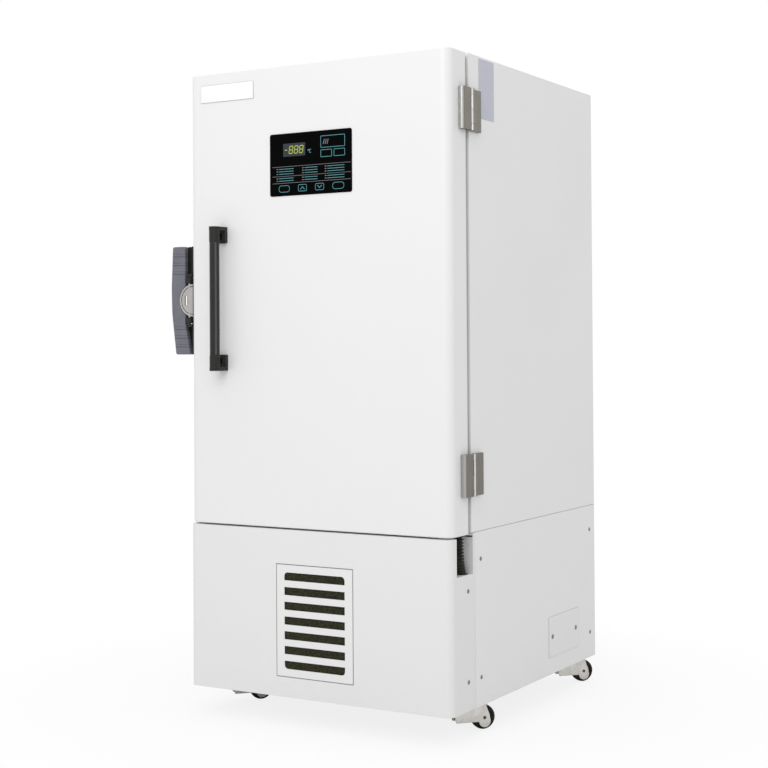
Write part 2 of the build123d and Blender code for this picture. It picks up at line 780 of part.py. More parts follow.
def latch():
    """The side latch: fixed housing and half-round plate, and the lever that swings on its pin."""
    wall = -half
    pin_x = wall - latch_pivot_out
    low = latch_z - latch_height / 2
    high = latch_z + latch_height / 2
    wing = latch_window / 2
    housing_start = latch_pivot_y + latch_plate_thickness / 2
    housing = block((wall - latch_housing_sheet, wall), (housing_start, latch_housing_back), (low, high))
    for start, end in ((low, latch_z - wing), (latch_z + wing, high)):
        cheek = block((wall - latch_housing_width, wall), (latch_housing_front, latch_housing_back),
                      (start, end))
        tip = cheek.edges().filter_by(Axis.Y).group_by(Axis.X)[0].sort_by(Axis.Z)
        cheek = fillet(tip[0] if start == low else tip[-1], latch_housing_corner)
        lug = block((pin_x - latch_boss_radius, wall),
                    (latch_pivot_y - latch_boss_radius, latch_housing_front + latch_lug_lap),
                    (start, start + latch_lug) if start != low else (end - latch_lug, end))
        housing += cheek + lug
    pin_ends = (latch_z - wing - latch_lug, latch_z + wing + latch_lug)
    housing -= rod((pin_x, latch_pivot_y, pin_ends[0]), (pin_x, latch_pivot_y, pin_ends[1]),
                   latch_pin_radius + running_gap)
    add("latch_housing", housing)

    centre = (wall, latch_pivot_y, latch_z)
    plate_y = (latch_pivot_y - latch_plate_thickness / 2, latch_pivot_y + latch_plate_thickness / 2)
    keep = block((wall - latch_bar_gap - latch_bar_width, wall), plate_y, (low, high))

    def disc(radius):
        return rod((centre[0], plate_y[0], latch_z), (centre[0], plate_y[1], latch_z), radius)

    rim_inner = latch_plate_radius + latch_rim_groove
    rim_outer = rim_inner + latch_rim_width
    slot_x = wall - latch_slot_out
    slot = block((slot_x - latch_slot_width / 2, slot_x + latch_slot_width / 2), plate_y,
                 (latch_z - latch_slot_height / 2, latch_z + latch_slot_height / 2))
    plate = (disc(latch_plate_radius) & keep) - fillet(slot.edges().filter_by(Axis.Y), latch_slot_width / 3)
    rim = (disc(rim_outer) - disc(rim_inner)) & keep
    pin = rod((pin_x, latch_pivot_y, pin_ends[0]), (pin_x, latch_pivot_y, pin_ends[1]), latch_pin_radius)
    web_y = (plate_y[1], plate_y[1] + latch_web_sheet)
    web = block((wall - latch_housing_sheet - latch_web_reach, wall - latch_housing_sheet), web_y,
                (latch_z - rim_inner - 1, latch_z + rim_inner + 1))
    relief = block((wall - latch_plate_radius, wall), plate_y,
                   (latch_z - latch_pin_relief, latch_z + latch_pin_relief))
    add("latch_plate", plate + web + rim, pin - relief)

    bar_right = wall - latch_bar_gap
    bar_left = bar_right - latch_bar_width
    face = latch_pivot_y - latch_face_step
    outline = Polygon((bar_right, high), (bar_left + latch_bar_taper, high),
                      (bar_left - latch_bar_belly, latch_z + latch_bar_straight),
                      (bar_left + latch_bar_belly, latch_z - latch_bar_straight),
                      (bar_left + latch_bar_lean, low), (bar_right + latch_bar_foot_lean, low),
                      (bar_right, latch_z - latch_bar_foot_start), align=None)
    corners = outline.vertices().group_by(Axis.Y)[0] + outline.vertices().group_by(Axis.Y)[-1]
    outline = fillet(corners, latch_bar_corner)
    bar = Plane.XZ.offset(-face - latch_bar_thickness) * outline
    bar = extrude(bar, latch_bar_thickness)
    bar -= rod((wall, face - 1, latch_z), (wall, face + latch_bar_thickness + 1, latch_z),
               rim_outer + latch_rim_clearance)
    for end, step in ((high, -1), (low, 1)):
        for i in range(latch_rib_count):
            rib_z = end + step * latch_rib_pitch * (i + 1)
            rib_left = bar_left + (latch_rib_start if step < 0 else latch_bar_lean + latch_rib_low_start)
            bar += block((rib_left, bar_right - latch_rib_end), (face - latch_rib_height, face),
                         (rib_z - latch_rib_width / 2, rib_z + latch_rib_width / 2))
    add("latch_lever", bar)

    boss_spans = [(latch_z + latch_knuckle_low, latch_z + latch_knuckle_high),
                  (latch_z - latch_knuckle_high, latch_z - latch_knuckle_low)]
    arm_left = wall - striker_pin_out - striker_pin_radius - striker_side_gap - latch_arm_thickness
    arm_x = (arm_left, arm_left + latch_arm_thickness)
    bridge_start = latch_pivot_y + latch_bridge_back
    bridge_y = (bridge_start, bridge_start + latch_bridge_depth)
    lip_y = (striker_y + striker_pin_radius + striker_side_gap,
             striker_y + striker_pin_radius + striker_side_gap + latch_hook_lip)
    arm_right = arm_left + latch_arm_reach
    yoke = block((arm_right - latch_bridge_width, arm_right), bridge_y, (boss_spans[1][0], boss_spans[0][1]))
    for span in boss_spans:
        yoke += rod((pin_x, latch_pivot_y, span[0]), (pin_x, latch_pivot_y, span[1]), latch_boss_radius)
        yoke += block((bar_right, pin_x), (latch_pivot_y, latch_pivot_y + latch_boss_radius), span)
        yoke += block((arm_left, pin_x), (latch_pivot_y, bridge_y[1]), span)
    arm_z = (latch_z - latch_arm_half, latch_z + latch_arm_half)
    yoke += block(arm_x, (bridge_start, lip_y[1]), arm_z)
    yoke += block((arm_left, wall - striker_pin_out - striker_pin_radius - striker_hook_gap), lip_y, arm_z)
    yoke -= rod((pin_x, latch_pivot_y, low), (pin_x, latch_pivot_y, high), latch_pin_radius + running_gap)
    add("latch_yoke", yoke)

    pin_centre = wall - striker_pin_out
    ear_start = latch_arm_half + striker_side_gap
    plate_reach = ear_start + striker_plate_lap
    striker = block((wall - striker_plate_sheet, wall),
                    (cabinet_front + striker_seam_gap, striker_y + striker_plate_back),
                    (latch_z - plate_reach, latch_z + plate_reach))
    for step in (-1, 1):
        ear_z = sorted((latch_z + step * ear_start, latch_z + step * (ear_start + striker_ear)))
        striker += block((pin_centre - striker_pin_radius, wall),
                         (striker_y - striker_ear_half, striker_y + striker_ear_half), ear_z)
    striker += rod((pin_centre, striker_y, latch_z - ear_start), (pin_centre, striker_y, latch_z + ear_start),
                   striker_pin_radius)
    add("latch_striker", striker)


def door_fittings():
    """Control panel with its board, the plain name plate, and the plain plate on the side."""
    add("control_panel", rounded_plate(control_x, control_low, control_width, control_height,
                                       -control_thickness, 0, control_corner))
    board = block((control_x - control_width / 2 + board_margin, control_x + control_width / 2 - board_margin),
                  (board_behind, board_behind + board_sheet),
                  (control_low + board_margin, control_low + control_height - board_margin))
    display_z = control_low + control_height * board_display_share
    board += block([control_x + reach for reach in board_display_span], (0, board_behind),
                   (display_z - board_display_half, display_z + board_display_half))
    keys = [(board_key_start + board_key_pitch * i, board_key_z) for i in range(4)]
    for key_x, key_z in [*keys, *board_upper_keys]:
        x = control_x + key_x
        z = control_low + key_z
        board += block((x - board_switch_half, x + board_switch_half), (0, board_behind),
                       (z - board_switch_half, z + board_switch_half))
    add("control_board", board)

    name_plate = rounded_plate(plate_x, plate_low, plate_width, plate_height, -plate_thickness, 0, plate_corner)
    add("name_plate", name_plate)
    add("side_label", block((half, half + label_thickness), (label_front, label_front + label_width),
                            (label_low, label_low + label_height)))


def base_frame():
    """The welded frame: bottom pan, four posts and the rails that carry the cabinet."""
    frame = block((-frame_half, frame_half), (pan_front + cover_radius, frame_back), (floor_gap, pan_top))
    front_half = frame_half - cover_radius
    frame += block((-front_half, front_half), (pan_front, pan_front + cover_radius + 1), (floor_gap, pan_top))
    post_inner = frame_half - post_width
    for side in (-1, 1):
        upright = sorted((side * post_inner, side * frame_half))
        for y in (front_post_y, rear_post_y):
            frame += block(upright, (y, y + post_depth), (floor_gap, seam))
        frame += block(upright, (front_post_y, rear_post_y + post_depth), (seam - rail_height, seam))
        strip = sorted((side * (frame_half - frame_tab_sheet), side * frame_half))
        for y, z in cover_screws:
            frame += block(strip, (y - tab_half, front_post_y + 1), (z - tab_half, z + tab_half))
        for y, z in panel_screws + cover_screws:
            frame -= side_hole(side, y, z, half)
    for y in (front_post_y, rear_post_y):
        frame += block((-frame_half, frame_half), (y, y + post_depth), (seam - rail_height, seam))
    for x, y in bolt_spots:
        frame -= rod((x, y, floor_gap - 1), (x, y, pan_top + 1), caster_bolt_radius + running_gap)
    add("base_frame", frame)


def front_cover():
    """The front cover wraps round both corners and leaves a notch for the door's conduit."""
    cover = rounded_slab(half, cover_front, side_seam, floor_gap, cover_top, cover_radius)
    cover -= rounded_slab(half - sheet, cover_front + sheet, side_seam + 1, floor_gap - 1, cover_top - sheet,
                          cover_radius - sheet)
    for side in (-1, 1):
        strip = sorted((side * (half - sheet), side * half))
        cover += block(strip, (notch_back, side_seam), (cover_top - sheet, seam - body_seam_gap))
        for y, z in cover_screws:
            cover -= side_hole(side, y, z, half)
    inner = half - notch_depth
    cover -= block((inner, half + 1), (notch_front, notch_back), (notch_low, cover_top + 1))
    cover += block((inner - sheet, inner), (notch_front, notch_back), (notch_low - sheet, cover_top))
    for wall_y in ((notch_front - sheet, notch_front), (notch_back, notch_back + sheet)):
        cover += block((inner - sheet, half), wall_y, (notch_low - sheet, cover_top))
    cover += block((inner - sheet, half), (notch_front - sheet, notch_back + sheet),
                   (notch_low - sheet, notch_low))
    cover -= conduit_hole()

    opening = grille_width / 2 + grille_gap
    low = grille_low - grille_gap
    high = grille_low + grille_height + grille_gap
    rest_y = cover_front + grille_return + seat_gap
    frame = block((-opening - sheet, opening + sheet), (cover_front, rest_y + sheet),
                  (low - sheet, high + sheet))
    frame -= block((rebate - opening, opening - rebate), (cover_front - 1, rest_y + sheet + 1),
                   (low + rebate, high - rebate))
    cover += frame
    cover -= block((-opening, opening), (cover_front - 1, rest_y), (low, high))
    add("base_front_cover", cover)


def conduit_hole():
    """The passage for the conduit through the notch floor."""
    x, y, z = conduit_route()[2]
    centre_y = y + conduit_hole_lead
    return rod((x, centre_y, notch_low - conduit_hole_half), (x, centre_y, notch_low + conduit_hole_half),
               conduit_radius + conduit_hole_room)


def conduit_route():
    """The conduit's route, chosen by hand: down under the door, then back to the control box."""
    x = half - conduit_inset
    turns = [(x - conduit_drift * back, conduit_y + conduit_back * back, door_low - conduit_fall * down)
             for back, down in conduit_turns]
    end = (turns[-1][0], control_box_front - seat_gap, turns[-1][2])
    return [(x, conduit_y, door_low - seat_gap), *turns, end]


def conduit():
    """The corrugated conduit that carries the door's wires into the base."""
    route = conduit_route()
    bends = soft_bends(route)
    print("conduit bend radii", [round(r) for r in bends])
    add("flex_conduit", tube_run(route, bends, conduit_radius))


def grille():
    """The pull-off filter grille, a shallow tray with seven slots, and the filter pad behind."""
    reach = grille_width / 2
    tray_y = (cover_front, cover_front + grille_return)
    tray = block((-reach, reach), tray_y, (grille_low, grille_low + grille_height))
    tray -= block((sheet - reach, reach - sheet), (cover_front + sheet, tray_y[1] + 1),
                  (grille_low + sheet, grille_low + grille_height - sheet))
    middle = grille_low + grille_height / 2
    for i in range(slot_count):
        centre = middle + slot_pitch * (i - (slot_count - 1) / 2)
        slot = block((-slot_width / 2, slot_width / 2), (cover_front - 1, cover_front + sheet + 1),
                     (centre - slot_height / 2, centre + slot_height / 2))
        if i in (0, slot_count - 1):
            rows = slot.edges().filter_by(Axis.Y).group_by(Axis.Z)
            slot = fillet(rows[0] if i == 0 else rows[-1], slot_corner)
        tray -= slot
    add("filter_grille", tray)
    pad = reach - sheet - filter_room
    add("filter_pad", block((-pad, pad), (cover_front + sheet + seat_gap, cover_front + grille_return),
                            (grille_low + sheet + filter_room,
                             grille_low + grille_height - sheet - filter_room)))


def base_panels():
    """Side sheets, the louvred back sheet and the small service plate on the right."""
    sides = []
    for side in (-1, 1):
        wall = sorted((side * (half - sheet), side * half))
        panel = block(wall, (side_seam + side_seam_gap, depth), (floor_gap, seam - body_seam_gap))
        for y, z in panel_screws:
            panel -= side_hole(side, y, z, half)
        if side > 0:
            panel -= block((half - 2 * sheet, half + 1),
                           (service_front + service_lap, service_front + service_length - service_lap),
                           (service_low + service_lap, service_low + service_height - service_lap))
        sides.append(panel)
    add("base_side_panels", *sides)

    plate = block((half, half + sheet), (service_front, service_front + service_length),
                  (service_low, service_low + service_height))
    plate = fillet(plate.edges().filter_by(Axis.X), service_corner)
    add("service_plate", plate)

    back_half = half - sheet - seat_gap
    back = block((-back_half, back_half), (depth - sheet, depth), (floor_gap, seam - seat_gap))
    middle = (pan_top + seam) / 2 + louvre_lift
    for column in range(louvre_columns):
        x = louvre_pitch_x * (column - (louvre_columns - 1) / 2)
        for row in range(louvre_rows):
            z = middle + louvre_pitch_z * (row - (louvre_rows - 1) / 2)
            back -= block((x - louvre_width / 2, x + louvre_width / 2), (depth - sheet - 1, depth + 1),
                          (z - louvre_height / 2, z + louvre_height / 2))
    back -= block((inlet_x - inlet_width / 2 - seat_gap, inlet_x + inlet_width / 2 + seat_gap),
                  (depth - sheet - 1, depth + 1),
                  (inlet_z - inlet_height / 2 - seat_gap, inlet_z + inlet_height / 2 + seat_gap))
    add("base_back_grille", back)


def mains_inlet():
    """The three-pin appliance inlet in the back sheet."""
    body = block((inlet_x - inlet_width / 2, inlet_x + inlet_width / 2), (depth - inlet_depth, depth + 1),
                 (inlet_z - inlet_height / 2, inlet_z + inlet_height / 2))
    flange = rounded_plate(inlet_x, inlet_z - inlet_height / 2 - inlet_flange, inlet_width + 2 * inlet_flange,
                           inlet_height + 2 * inlet_flange, depth, depth + inlet_flange_sheet, inlet_corner)
    well = block((inlet_x - inlet_width / 2 + inlet_wall, inlet_x + inlet_width / 2 - inlet_wall),
                 (depth - inlet_depth + inlet_floor, depth + inlet_flange_sheet + 1),
                 (inlet_z - inlet_height / 2 + inlet_wall, inlet_z + inlet_height / 2 - inlet_wall))
    inlet = body + flange - well
    thin, tall = inlet_pin_half
    for x, z in inlet_pins:
        inlet += block((inlet_x + x - thin, inlet_x + x + thin),
                       (depth - inlet_depth + inlet_floor - 1, depth - inlet_pin_recess),
                       (inlet_z + z - tall, inlet_z + z + tall))
    add("mains_inlet", inlet)


def screws():
    """Every visible screw, and the caster bolts, as separate solids."""
    found = []
    for side in (-1, 1):
        found += [side_screw(side, y, z, half) for y, z in panel_screws + cover_screws]
    outside = block((half + sheet, width), (0, depth), (0, top))
    found += [side_screw(1, y, z, half + sheet, head=service_screw_head) & outside for y, z in service_screws]
    for y, z in hinge_screws:
        found.append(rod((leaf_outer, y, z), (leaf_outer - hinge_screw_length, y, z), hinge_screw_radius))
    head_top = floor_gap - caster_plate_thickness
    for x, y in bolt_spots:
        bolt = rod((x, y, head_top - caster_bolt_head_height), (x, y, head_top), caster_bolt_head_radius)
        bolt += rod((x, y, head_top), (x, y, pan_top + caster_bolt_end), caster_bolt_radius)
        found.append(bolt)
    add("screws", *found)


def casters():
    """Four swivel casters: plate and kingpin, stamped fork with its axle, and wheel."""
    plates = []
    wheel_radius = wheel_diameter / 2
    plate_low = floor_gap - caster_plate_thickness
    crown_low = wheel_diameter + fork_wheel_gap
    crown_high = crown_low + fork_sheet
    race_high = plate_low - seat_gap
    leg_inner = wheel_width / 2 + fork_wheel_gap
    leg_outer = leg_inner + fork_sheet
    nose = [(caster_trail + x, z) for x, z in fork_nose]
    nose_top = caster_trail + fork_crown_nose
    side_view = [(-fork_tail, crown_low), (-fork_tail, fork_tail_low),
                 (fork_tail_cut - fork_tail, fork_low), (fork_waist, fork_low),
                 *nose, (nose_top, crown_low)]
    names = ("front_left", "front_right", "rear_left", "rear_right")
    for name, (x, y) in zip(names, caster_spots):
        place = Pos(x, y, 0) * Rot(0, 0, caster_heading)
        plate = block((-caster_plate / 2, caster_plate / 2), (-caster_plate / 2, caster_plate / 2),
                      (plate_low, floor_gap))
        plate = fillet(plate.edges().filter_by(Axis.Z), caster_corner)
        plate += rod((0, 0, crown_low), (0, 0, plate_low), king_radius)
        plate = Pos(x, y, 0) * plate
        for bx, by in bolt_spots:
            plate -= rod((bx, by, plate_low - 1), (bx, by, floor_gap + 1), caster_bolt_radius + running_gap)
        plates.append(plate)

        leg = Polygon(*side_view, align=None)
        leg += Pos(caster_trail + fork_boss_x, fork_boss_z) * Circle(fork_boss_radius)
        fork = extrude(Plane.XZ * leg, leg_outer, both=True)
        fork -= block((-wheel_diameter, wheel_diameter), (-leg_inner, leg_inner), (0, crown_low))
        fork += block((-fork_tail, nose_top), (-leg_outer, leg_outer), (crown_low, crown_high))
        fork += block((-fork_tail, fork_sheet - fork_tail), (-leg_outer, leg_outer),
                      (fork_tail_low, crown_high))
        fork += rod((0, 0, crown_low), (0, 0, race_high), fork_race_radius)
        fork -= rod((0, 0, crown_low - 1), (0, 0, race_high + 1), king_radius + running_gap)
        fork += rod((caster_trail, -leg_outer - axle_end, wheel_radius),
                    (caster_trail, leg_outer + axle_end, wheel_radius), axle_radius)
        rivet_x = caster_trail - fork_boss_x
        for side in (-1, 1):
            fork += rod((rivet_x, side * leg_inner, fork_rivet_z),
                        (rivet_x, side * (leg_outer + fork_rivet_height), fork_rivet_z), fork_rivet_radius)
        add(f"caster_fork_{name}", place * fork)

        wheel = rod((caster_trail, -wheel_width / 2, wheel_radius),
                    (caster_trail, wheel_width / 2, wheel_radius), wheel_radius)
        wheel = fillet(wheel.edges(), tyre_edge_radius)
        wheel -= rod((caster_trail, -wheel_width, wheel_radius), (caster_trail, wheel_width, wheel_radius),
                     axle_radius + running_gap)
        add(f"caster_wheel_{name}", place * wheel)
    add("caster_plates", *plates)


def condenser():
    """The finned condenser behind the filter, with its return bends, and the fan behind it."""
    reach = condenser_width / 2
    back = condenser_front + condenser_depth
    high = pan_top + condenser_height
    core = block((-reach, reach), (condenser_front, back), (pan_top, high))
    pitch = condenser_height / condenser_rows
    for side in (-1, 1):
        for i in range(0, condenser_rows - 1):
            z = pan_top + pitch * (i + 0.5)
            ring = Pos(side * reach, condenser_front + condenser_depth / 2, z + pitch / 2) * (
                Rot(90, 0, 0) * Torus(pitch / 2, condenser_tube))
            if i % 2 == (0 if side > 0 else 1):
                core += ring
    add("condenser", core)

    centre_z = pan_top + condenser_height / 2
    shroud_back = back + shroud_depth
    shroud = block((-reach, reach), (back, shroud_back), (pan_top, high))
    inner = reach - condenser_end_plate
    shroud -= block((-inner, inner), (back - 1, shroud_back - shroud_sheet),
                    (pan_top + condenser_end_plate, high - condenser_end_plate))
    shroud -= rod((0, back, centre_z), (0, shroud_back + 1, centre_z), fan_bore)
    motor_front = shroud_back + fan_motor_gap
    motor_back = motor_front + fan_motor_length
    far = fan_bore + fan_strut_out
    near = fan_motor_radius + running_gap
    strut_y = motor_front + fan_strut_back
    for angle in (45, 135, 225, 315):
        post = block((far - fan_strut / 2, far + fan_strut / 2), (shroud_back - 1, strut_y + fan_strut / 2),
                     (-fan_strut / 2, fan_strut / 2))
        arm = block((near, far), (strut_y - fan_strut / 2, strut_y + fan_strut / 2),
                    (-fan_strut / 2, fan_strut / 2))
        shroud += Pos(0, 0, centre_z) * (Rot(0, angle, 0) * (post + arm))
    shroud -= rod((0, shroud_back, centre_z), (0, motor_back, centre_z), fan_motor_radius + running_gap)
    add("fan_shroud", shroud)

    motor = rod((0, motor_front, centre_z), (0, motor_back, centre_z), fan_motor_radius)
    motor = fillet(motor.edges().group_by(Axis.Y)[-1], fan_motor_edge)
    motor += rod((0, motor_front - fan_motor_gap - fan_hub_length, centre_z), (0, motor_front, centre_z),
                 fan_shaft_radius)
    add("fan_motor", motor)

    hub_back = motor_front - fan_hub_gap
    hub_mid = hub_back - fan_hub_length / 2
    fan = rod((0, hub_back - fan_hub_length, centre_z), (0, hub_back, centre_z), fan_hub_radius)
    for i in range(fan_blades):
        blade_root = fan_hub_radius - fan_blade_root
        blade = Box(fan_blade_radius - blade_root, fan_blade_sheet, fan_blade_chord)
        blade = Pos((fan_blade_radius + blade_root) / 2, 0, 0) * Rot(fan_pitch, 0, 0) * blade
        turn = Rot(0, 360 / fan_blades * i, 0)
        fan += Pos(0, hub_mid, centre_z) * (turn * blade)
    fan -= rod((0, hub_back - fan_hub_length - 1, centre_z), (0, hub_back + 1, centre_z),
               fan_shaft_radius + running_gap)
    add("fan_blade", fan)


def refrigeration():
    """Two hermetic compressors on rubber feet, the cascade exchanger, the drier and the pipes."""
    grommets = []
    foot_low = pan_top + grommet_height
    foot_high = foot_low + compressor_foot_sheet
    reach = compressor_foot / 2
    for node, y in zip(("compressor_high_stage", "compressor_low_stage"), compressor_y):
        foot = block((compressor_x - reach, compressor_x + reach), (y - reach, y + reach),
                     (foot_low, foot_high))
        shell = rod((compressor_x, y, foot_high), (compressor_x, y, foot_high + compressor_height),
                    compressor_radius)
        shell = fillet(shell.edges(), compressor_edge)
        box_x = compressor_x + compressor_radius
        unit = foot + shell + block((box_x - terminal_start, box_x + terminal_reach),
                                    (y - terminal_half, y + terminal_half),
                                    (foot_high + terminal_low, foot_high + terminal_high))
        unit += rod((compressor_x, y, foot_high), (compressor_x, y, foot_high + compressor_skirt),
                    compressor_radius * 0.8)
        add(node, unit)
        for dx in (-1, 1):
            for dy in (-1, 1):
                gx = compressor_x + dx * (reach - grommet_inset)
                gy = y + dy * (reach - grommet_inset)
                grommets.append(rod((gx, gy, pan_top), (gx, gy, foot_low), grommet_radius))
    add("compressor_feet", *grommets)

    tank = rod((exchanger_x, exchanger_y, pan_top), (exchanger_x, exchanger_y, pan_top + exchanger_height),
               exchanger_radius)
    add("cascade_exchanger", fillet(tank.edges().group_by(Axis.Z)[-1], exchanger_edge))

    drier_high = drier_low + drier_length
    drier = rod((drier_x, drier_y, drier_low), (drier_x, drier_y, drier_high), drier_radius)
    drier = fillet(drier.edges(), drier_radius * 0.6)
    add("filter_drier", drier)

    bend = 3 * pipe_radius
    shell_top = foot_high + compressor_height
    first_y, second_y = compressor_y
    first_x = compressor_x - pipe_spread
    second_x = compressor_x + pipe_spread
    condenser_top = pan_top + condenser_height
    loft = seam - pipe_headroom
    lower_loft = loft - pipe_step
    upper_loft = loft + pipe_tank_spread
    condenser_mid = condenser_front + condenser_depth / 2
    tank_top = pan_top + exchanger_height
    feed_x = pipe_spread - condenser_width / 2
    drier_foot = drier_low - pipe_drier_drop
    tank_in = exchanger_x - pipe_tank_spread
    tank_out = exchanger_x + pipe_tank_spread
    riser_y = exchanger_y + pipe_riser_back
    runs = [[(first_x, first_y, shell_top), (first_x, first_y, loft), (feed_x, first_y - pipe_feed_reach, loft),
             (feed_x, condenser_mid, loft), (feed_x, condenser_mid, condenser_top)],
            [(drier_x, condenser_mid, condenser_top), (drier_x, condenser_mid, lower_loft),
             (drier_x, drier_y, lower_loft), (drier_x, drier_y, drier_high)],
            [(drier_x, drier_y, drier_low), (drier_x, drier_y, drier_foot),
             (drier_x, exchanger_y, drier_foot), (exchanger_x - exchanger_radius, exchanger_y, drier_foot)],
            [(second_x, second_y, shell_top), (second_x, second_y, loft), (tank_in, exchanger_y, loft),
             (tank_in, exchanger_y, tank_top)],
            [(tank_out, exchanger_y, tank_top), (tank_out, exchanger_y, upper_loft),
             (tank_out, riser_y, upper_loft), (tank_out, riser_y, seam)]]
    pipes = [tube_run(run, bend, pipe_radius) for run in runs]
    add("refrigerant_pipes", *pipes)


def electrics():
    """The control box under the cabinet floor and the backup battery on the pan."""
    control = block((control_box_left, control_box_right),
                    (control_box_front, control_box_front + control_box_depth), (control_box_low, seam))
    add("control_box", fillet(control.edges().filter_by(Axis.Z), control_box_corner))
    long, deep, tall = battery_size
    battery = block((battery_x - long / 2, battery_x + long / 2), (battery_y - deep / 2, battery_y + deep / 2),
                    (pan_top, pan_top + tall))
    add("backup_battery", fillet(battery.edges().filter_by(Axis.Z), battery_corner))


cabinet()
evaporator()
compartment()
access_port()
door()
hinges()
handle()
latch()
door_fittings()
base_frame()
front_cover()
conduit()
grille()
base_panels()
mains_inlet()
screws()
casters()
condenser()
refrigeration()
electrics()

# Everything moves together so that the origin is on the floor under the middle of the box.
whole = Compound([solid for solids in parts.values() for solid in solids]).bounding_box()
centring = Location((-whole.center().X, -whole.center().Y, 0))
print("shift to the middle of the box", [round(v, 4) for v in centring.position])
os.makedirs("parts", exist_ok=True)
for node, solids in parts.items():
    placed = [solid.moved(centring) for solid in solids]
    export_step(placed[0] if len(placed) == 1 else Compound(placed), f"parts/{node}.step")
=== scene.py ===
# %% [markdown]
# # A laboratory freezer in a white studio
#
# The solids of this freezer come ready made, to the millimetre. What they lack is what the eye
# looks for: paint with a little orange peel, brushed hinges, a corrugated conduit, foam behind
# the grille. This lesson adds those, one finish or one piece at a time.

# %% Load the solids and keep their outer box
import bmesh
import bpy
import numpy as np
from math import radians
from mathutils import Matrix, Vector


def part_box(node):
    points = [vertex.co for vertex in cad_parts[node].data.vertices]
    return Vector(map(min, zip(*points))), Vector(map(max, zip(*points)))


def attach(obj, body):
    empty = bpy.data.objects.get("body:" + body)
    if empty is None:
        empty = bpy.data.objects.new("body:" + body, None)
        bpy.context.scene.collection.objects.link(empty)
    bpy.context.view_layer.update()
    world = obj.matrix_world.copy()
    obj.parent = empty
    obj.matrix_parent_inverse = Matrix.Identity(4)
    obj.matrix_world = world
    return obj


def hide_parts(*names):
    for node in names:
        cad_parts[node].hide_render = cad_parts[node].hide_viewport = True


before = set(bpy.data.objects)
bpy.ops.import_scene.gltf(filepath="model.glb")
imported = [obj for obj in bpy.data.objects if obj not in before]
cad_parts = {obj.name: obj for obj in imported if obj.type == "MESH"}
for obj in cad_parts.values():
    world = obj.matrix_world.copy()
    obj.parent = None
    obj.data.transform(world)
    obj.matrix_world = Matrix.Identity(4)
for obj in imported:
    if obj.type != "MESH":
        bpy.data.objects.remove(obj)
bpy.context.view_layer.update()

# %% [markdown]
# A maker measures from the thing itself: X from the middle of the cabinet, Y from the front of
# the door, Z from the floor, in millimetres. Blender works in metres about the middle of the
# whole box. One small function turns the first into the second, so that every later number can
# be read off the freezer with a ruler.

# %% From the maker's millimetres to the scene's metres
door_low, door_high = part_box("door_skin")
origin = np.array([(door_low.x + door_high.x) / 2, door_low.y, 0.0])


def to_scene(points):
    """Millimetres from the maker's origin become metres: divide by 1000 and add the origin."""
    return np.asarray(points, float) / 1000 + origin


half_width = (door_high.x - door_low.x) * 500
door_foot = door_low.z * 1000
door_top = door_high.z * 1000
print("origin", origin.round(5), "half width", round(half_width, 2))
print("door from", round(door_foot), "to", round(door_top))

# %% [markdown]
# The photographer stood about four metres away, at the right, with a long lens held nearly level,
# so upright edges stay nearly parallel, and the lens was slid a little to frame the whole freezer.
# The camera below has the same place, turn, tilt, roll, focal length and shift.

# %% Camera
camera_data = bpy.data.cameras.new("studio_camera")
camera_data.sensor_width = 36
camera_data.lens = 72.17
camera_data.shift_y = -0.0794
camera = bpy.data.objects.new("studio_camera", camera_data)
camera.location = to_scene((2175, -3339.4, 989.3))
yaw, tilt, roll = radians(30.455), radians(90.83), radians(-0.35)
camera.rotation_euler = (Matrix.Rotation(yaw, 3, "Z") @ Matrix.Rotation(tilt, 3, "X")
                         @ Matrix.Rotation(roll, 3, "Z")).to_euler()
bpy.context.scene.collection.objects.link(camera)
bpy.context.scene.camera = camera
bpy.context.scene.view_settings.view_transform = "Standard"
print("camera", tuple(round(v, 3) for v in camera.location))

# %% [markdown]
# A corrugated conduit carries the wires of the door into the base. It is one free, stiff hose, so
# its line comes first: a NURBS spline that follows a few chosen points, as a real hose cuts the
# corners that one would draw. The tube itself follows later, once there are finishes.

# %% Line of the conduit
conduit_drop = [(380, 71, -0.3), (380, 71, -56.39), (374.585, 88.347, -93.48), (368.6, 107.52, -121.6),
                (360.62, 133.084, -141.36), (351.5, 162.3, -152), (351.5, 214.7, -152)]
conduit_points = [(x, y, door_foot + drop) for x, y, drop in conduit_drop]


def smooth_line(name, points):
    """Points along the NURBS spline of order 3 whose control points are the given ones."""
    curve = bpy.data.curves.new(name, "CURVE")
    curve.dimensions = "3D"
    curve.resolution_u = 24
    spline = curve.splines.new("NURBS")
    spline.points.add(len(points) - 1)
    spline.points.foreach_set("co", np.column_stack([to_scene(points), np.ones(len(points))]).ravel())
    spline.order_u = 3
    spline.use_endpoint_u = True
    holder = bpy.data.objects.new(name, curve)
    mesh = bpy.data.meshes.new_from_object(holder)
    found = np.empty(len(mesh.vertices) * 3)
    mesh.vertices.foreach_get("co", found)
    bpy.data.meshes.remove(mesh)
    bpy.data.objects.remove(holder)
    bpy.data.curves.remove(curve)
    return found.reshape(-1, 3)


conduit_line = smooth_line("conduit_line", conduit_points)

# %% [markdown]
# Nodes read better when they are made in one breath, each with all that feeds it. So a helper
# takes numbers and sockets alike: a number becomes the value of an input, a socket is joined to
# it. The others make the kinds of node that turn up most, and give back the output to go on with.


# %% Small helpers for node trees
def make(tree, kind, values=None, **settings):
    """Add a node, set its attributes, then feed its named or numbered inputs."""
    node = tree.nodes.new(kind)
    for key, value in settings.items():
        setattr(node, key, value)
    for key, value in (values or {}).items():
        if isinstance(value, bpy.types.NodeSocket):
            tree.links.new(value, node.inputs[key])
        else:
            node.inputs[key].default_value = value
    return node


def calc(tree, operation, *values, **settings):
    """One sum on numbers: the operation is applied to the values in their order."""
    node = make(tree, "ShaderNodeMath", dict(enumerate(values)), operation=operation, **settings)
    return node.outputs[0]


